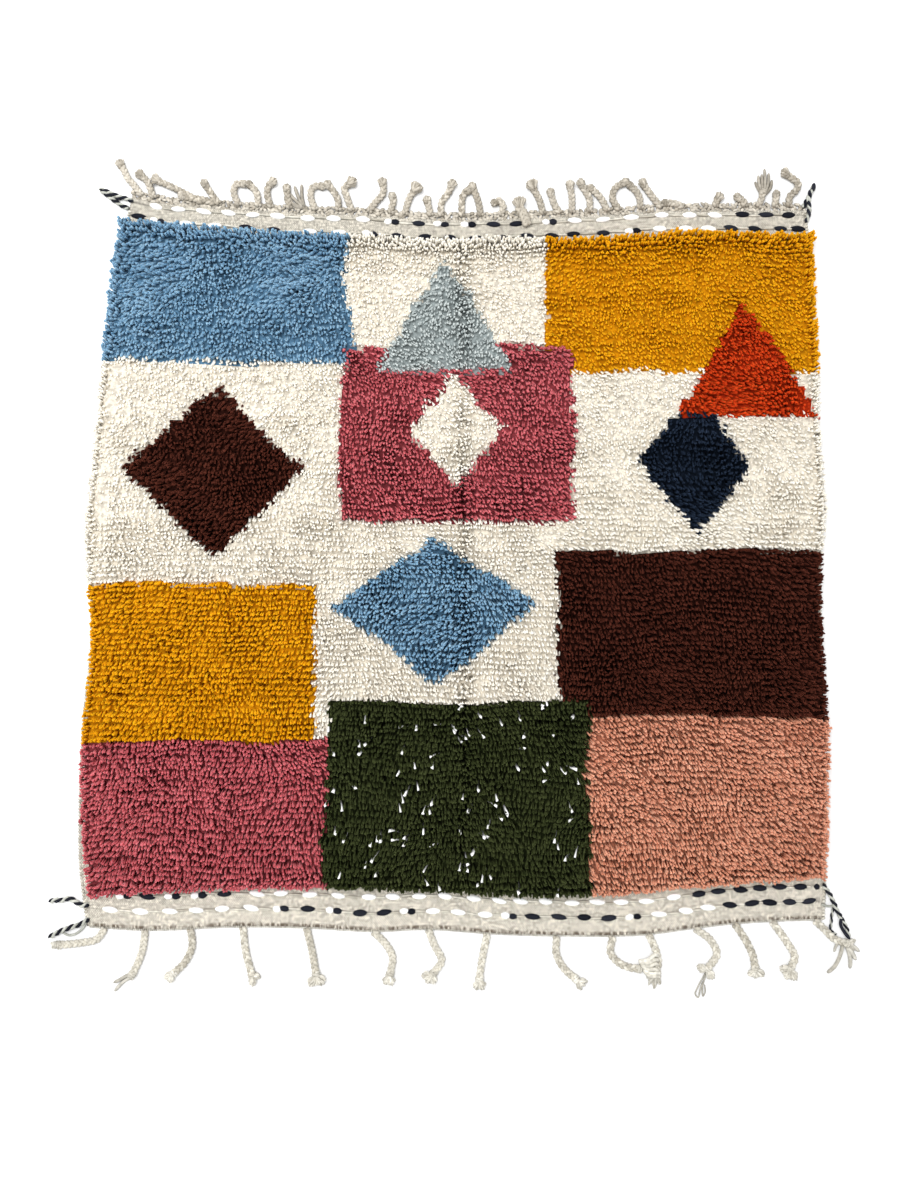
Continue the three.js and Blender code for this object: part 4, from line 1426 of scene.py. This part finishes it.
# %% Loose yarns at the near end
LOOSE_YARNS = [
    ([(-512, -663), (-522, -667), (-532, -673), (-541, -677)], 5.4),
    ([(-513, -668), (-526, -676), (-534, -684), (-539, -690)], 5.4),
    ([(395, -660), (388, -672), (381, -684), (377, -696), (381, -700), (384, -690), (389, -676)],
     2.4),
    ([(396, -662), (391, -674), (388, -688), (389, -698), (392, -693), (392, -680)], 2.4),
    ([(612, -620), (606, -638), (598, -652), (586, -662)], 6.2),
    ([(618, -619), (622, -634), (623, -646), (622, -655)], 6.4),
    ([(619, -620), (626, -631), (632, -642)], 6.6),
    ([(618, -616), (628, -621), (638, -629)], 6.0),
    ([(609, -612), (602, -620), (598, -630)], 4.6),
]
near_ends += [loose_yarn(spots, thick) for spots, thick in LOOSE_YARNS]
for share in np.linspace(0, 1, 6):
    fan = [(289 + 6 * share, -644 - 12 * share, 4), (301 + 3 * share, -641 - 22 * share, 10),
           (311 + 4 * share, -633 - 33 * share, 11), (318 + 2 * share, -636 - 33 * share, 7)]
    fan = np.array(fan) + rng.normal(0, 1.3, (4, 3)) * (1, 1, 0.5)
    line = even_line(fan * MM, 3 * MM)
    near_ends.append((line, rng.uniform(3, 3.5) * MM * np.ones(len(line))))
finish_piece(yarn_piece("near_tassel_heads", near_ends), cut_finish, "braid", "fringe_near")

# %% [markdown]
# ## The far end: a knotted edge and many short braids
#
# The far end is finished differently: its warps are knotted down along the edge, which leaves a
# thick, uneven seam of small hard knots, and thirty-five short ends of it curl up from there. The
# seam is three rows of small lenses that turn every way. The braids use the same plait and knot.
# Two bunches of frayed yarns stand up between them, and one knot hangs over the band.

# %% Knotted far edge and far braids
FRAYED = [
    ([(-258, 600), (-262, 618), (-263, 640)], 4.4), ([(-259, 600), (-268, 617), (-275, 637)], 4.4),
    ([(-260, 600), (-273, 612), (-288, 629)], 4.4), ([(-262, 598), (-277, 606), (-292, 614)], 4.6),
    ([(-262, 598), (-275, 602), (-283, 618)], 4.2), ([(521, 622), (514, 635), (510, 645)], 4.0),
    ([(522, 622), (517, 640), (516, 656)], 4.2), ([(523, 622), (522, 642), (522, 658)], 4.2),
    ([(524, 622), (527, 642), (527, 668)], 4.0), ([(525, 622), (532, 640), (534, 660)], 4.2),
    ([(526, 622), (536, 634), (539, 648)], 4.2),
]
HANGING_KNOT = [(106, 598, 8), (112, 590, 9), (117, 578, 8), (121, 566, 7)]

seam_rows = []
for out in (1.5, 6, 10.5):
    x = np.arange(-0.548, 0.592, 6.4 * MM)
    x = x + rng.uniform(-2, 2, len(x)) * MM
    y = far_edge(x) + (out + rng.uniform(-1.4, 1.4, len(x))) * MM
    seam_rows.append(np.stack([x, y, rng.uniform(2.0, 2.6, len(x)) * MM], 1))
spots = np.concatenate(seam_rows)
turned = flat_turns(rng.uniform(-1.1, 1.1, len(spots)))
sizes = rng.uniform(0.8, 1.2, spots.shape) * (1.35, 2.3, 1.1)
shades = rng.uniform(0.2, 1, len(spots))
seam = plant_all("far_edge_seam", stitch_stems, spots, turned, sizes, shades)
finish_piece(seam, far_braid_finish, "braid", "fringe_far")

far_plaits, far_ends = [], []
for x, share, route in FAR_BRAIDS:
    strands, knot, end, forward = tassel(x, route, far_edge, 1, 6 * MM, FAR_HEIGHT)
    far_plaits += strands
    far_ends.append(knot)
    head = 14.5 * MM * share
    far_ends += lobe(end - forward * 5 * MM, forward, 0.75 * head, head, 0.7 * head, 4 * MM)
far_ends += [loose_yarn(spots, 1.3 * thick, 3) for spots, thick in FRAYED]
over_band = even_line(np.array(HANGING_KNOT) * MM, 2.5 * MM)
far_plaits += plait(over_band, 17 * MM, 8 * MM, 6.5 * MM)
for name, yarns in (("far_braids", far_plaits), ("far_tassel_heads", far_ends)):
    finish_piece(yarn_piece(name, yarns), far_braid_finish, "braid", "fringe_far")

# %% [markdown]
# ## The ties at the corners
#
# The twining yarns leave the cloth at its sides. Each pair was twisted together, black with white,
# and left as a loose end. The black yarn and the cream one are two strands that go round each
# other along the measured route. Most of the ties have a second pair or a lone yarn beside them.

# %% Twisted ties
# The yarns of each tie with their radius and their route in mm: two letters are two yarns that go
# round each other, b for the black one and w for the cream one, and one letter is a yarn alone
TIES = {
    "tie_far_left": [
        ("bw", 2.1, [(-549, 610), (-559, 614), (-573, 618), (-589, 625), (-607, 632)]),
        ("wb", 2.1, [(-556, 597), (-566, 601), (-577, 608), (-590, 618), (-606, 630)]),
        ("bw", 1.7, [(-572, 614), (-580, 617), (-590, 622), (-600, 629)]),
    ],
    "tie_far_right": [
        ("bw", 2.2, [(594, 572), (600, 590), (600, 608), (602, 622), (608, 636)]),
        ("wb", 2.2, [(589, 598), (594, 606), (599, 616), (604, 626), (608, 634)]),
        ("b", 3.4, [(606, 628), (608, 633), (609, 640)]),
    ],
    "tie_near_left_inner": [
        ("bw", 2.3, [(-584, -556), (-593, -558), (-603, -553), (-616, -547), (-627, -550),
                     (-641, -550), (-646, -553)]),
    ],
    "tie_near_left_outer": [
        ("bw", 2.3, [(-583, -578), (-594, -586), (-606, -590), (-618, -594), (-630, -599),
                     (-645, -607)]),
        ("w", 1.9, [(-586, -582), (-593, -594), (-604, -602), (-614, -604), (-624, -600)]),
    ],
    "tie_near_right": [
        ("bw", 2.1, [(583, -525), (591, -536), (596, -545), (601, -557), (605, -567), (611, -578)]),
        ("b", 2.3, [(611, -577), (609, -586), (614, -598), (622, -609)]),
        ("bw", 1.7, [(611, -577), (617, -588), (621, -600), (623, -609)]),
        ("w", 1.9, [(580, -556), (590, -559), (602, -558)]),
        ("bw", 1.3, [(599, -562), (596, -576), (595, -586), (594, -597), (603, -603)]),
    ],
}
TWIST = 17 * MM

for node, parts in TIES.items():
    plies, blacks = [], []
    for letters, radius, route in parts:
        line = even_line([(x * MM, y * MM, 2 * radius * MM) for x, y in route], 1.8 * MM)
        along, left = frame_of(line)
        apart = 0.85 * radius * MM if len(letters) == 2 else 0
        for number, letter in enumerate(letters):
            phase = math.tau * (along / TWIST + number / 2)
            shift = left * np.sin(phase)[:, None] + UP * np.cos(phase)[:, None]
            radii = np.full(len(line), radius * MM) * (1.12 if letter == "b" else 0.95)
            radii[-3:] *= (0.95, 0.8, 0.5)
            plies.append((line + shift * apart, radii))
            blacks.append(letter == "b")
    tie = yarn_piece(node + "_yarns", plies)
    finish_piece(tie, [black_finish, cream_ply_finish], "twining_black", node)
    ply = tie.data.attributes["yarn"].data
    for face in tie.data.polygons:
        face.material_index = 0 if blacks[ply[face.vertices[0]].value] else 1

# %% [markdown]
# ## Add the floor
#
# The woven ground is a sheet of cloth, 1.2 m by 1.2 m before it was laid down. Everything else
# is sewn, knotted or plaited to it. The floor is a plain pale backdrop, a little under the rug,
# and is no part of it.

# %% Floor and the closing lines
add = bpy.ops.mesh.primitive_plane_add
floor = new_shape("pale_floor", add, size=14, location=(0, 0, -0.3 * MM))
edit_all()
bpy.ops.mesh.subdivide(number_cuts=2)
bpy.ops.object.mode_set(mode="OBJECT")
floor_finish = bpy.data.materials.new("pale_floor_finish")
floor_finish.use_nodes = True
floor_shader = floor_finish.node_tree.nodes["Principled BSDF"]
floor_shader.inputs["Base Color"].default_value = (0.86, 0.86, 0.86, 1)
floor_shader.inputs["Roughness"].default_value = 0.95
floor.data.materials.append(floor_finish)
floor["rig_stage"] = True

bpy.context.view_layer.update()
triangles = sum(
    len(polygon.vertices) - 2 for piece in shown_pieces() if "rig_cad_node" not in piece
    for polygon in piece.data.polygons
)
print("Triangles in all:", triangles)
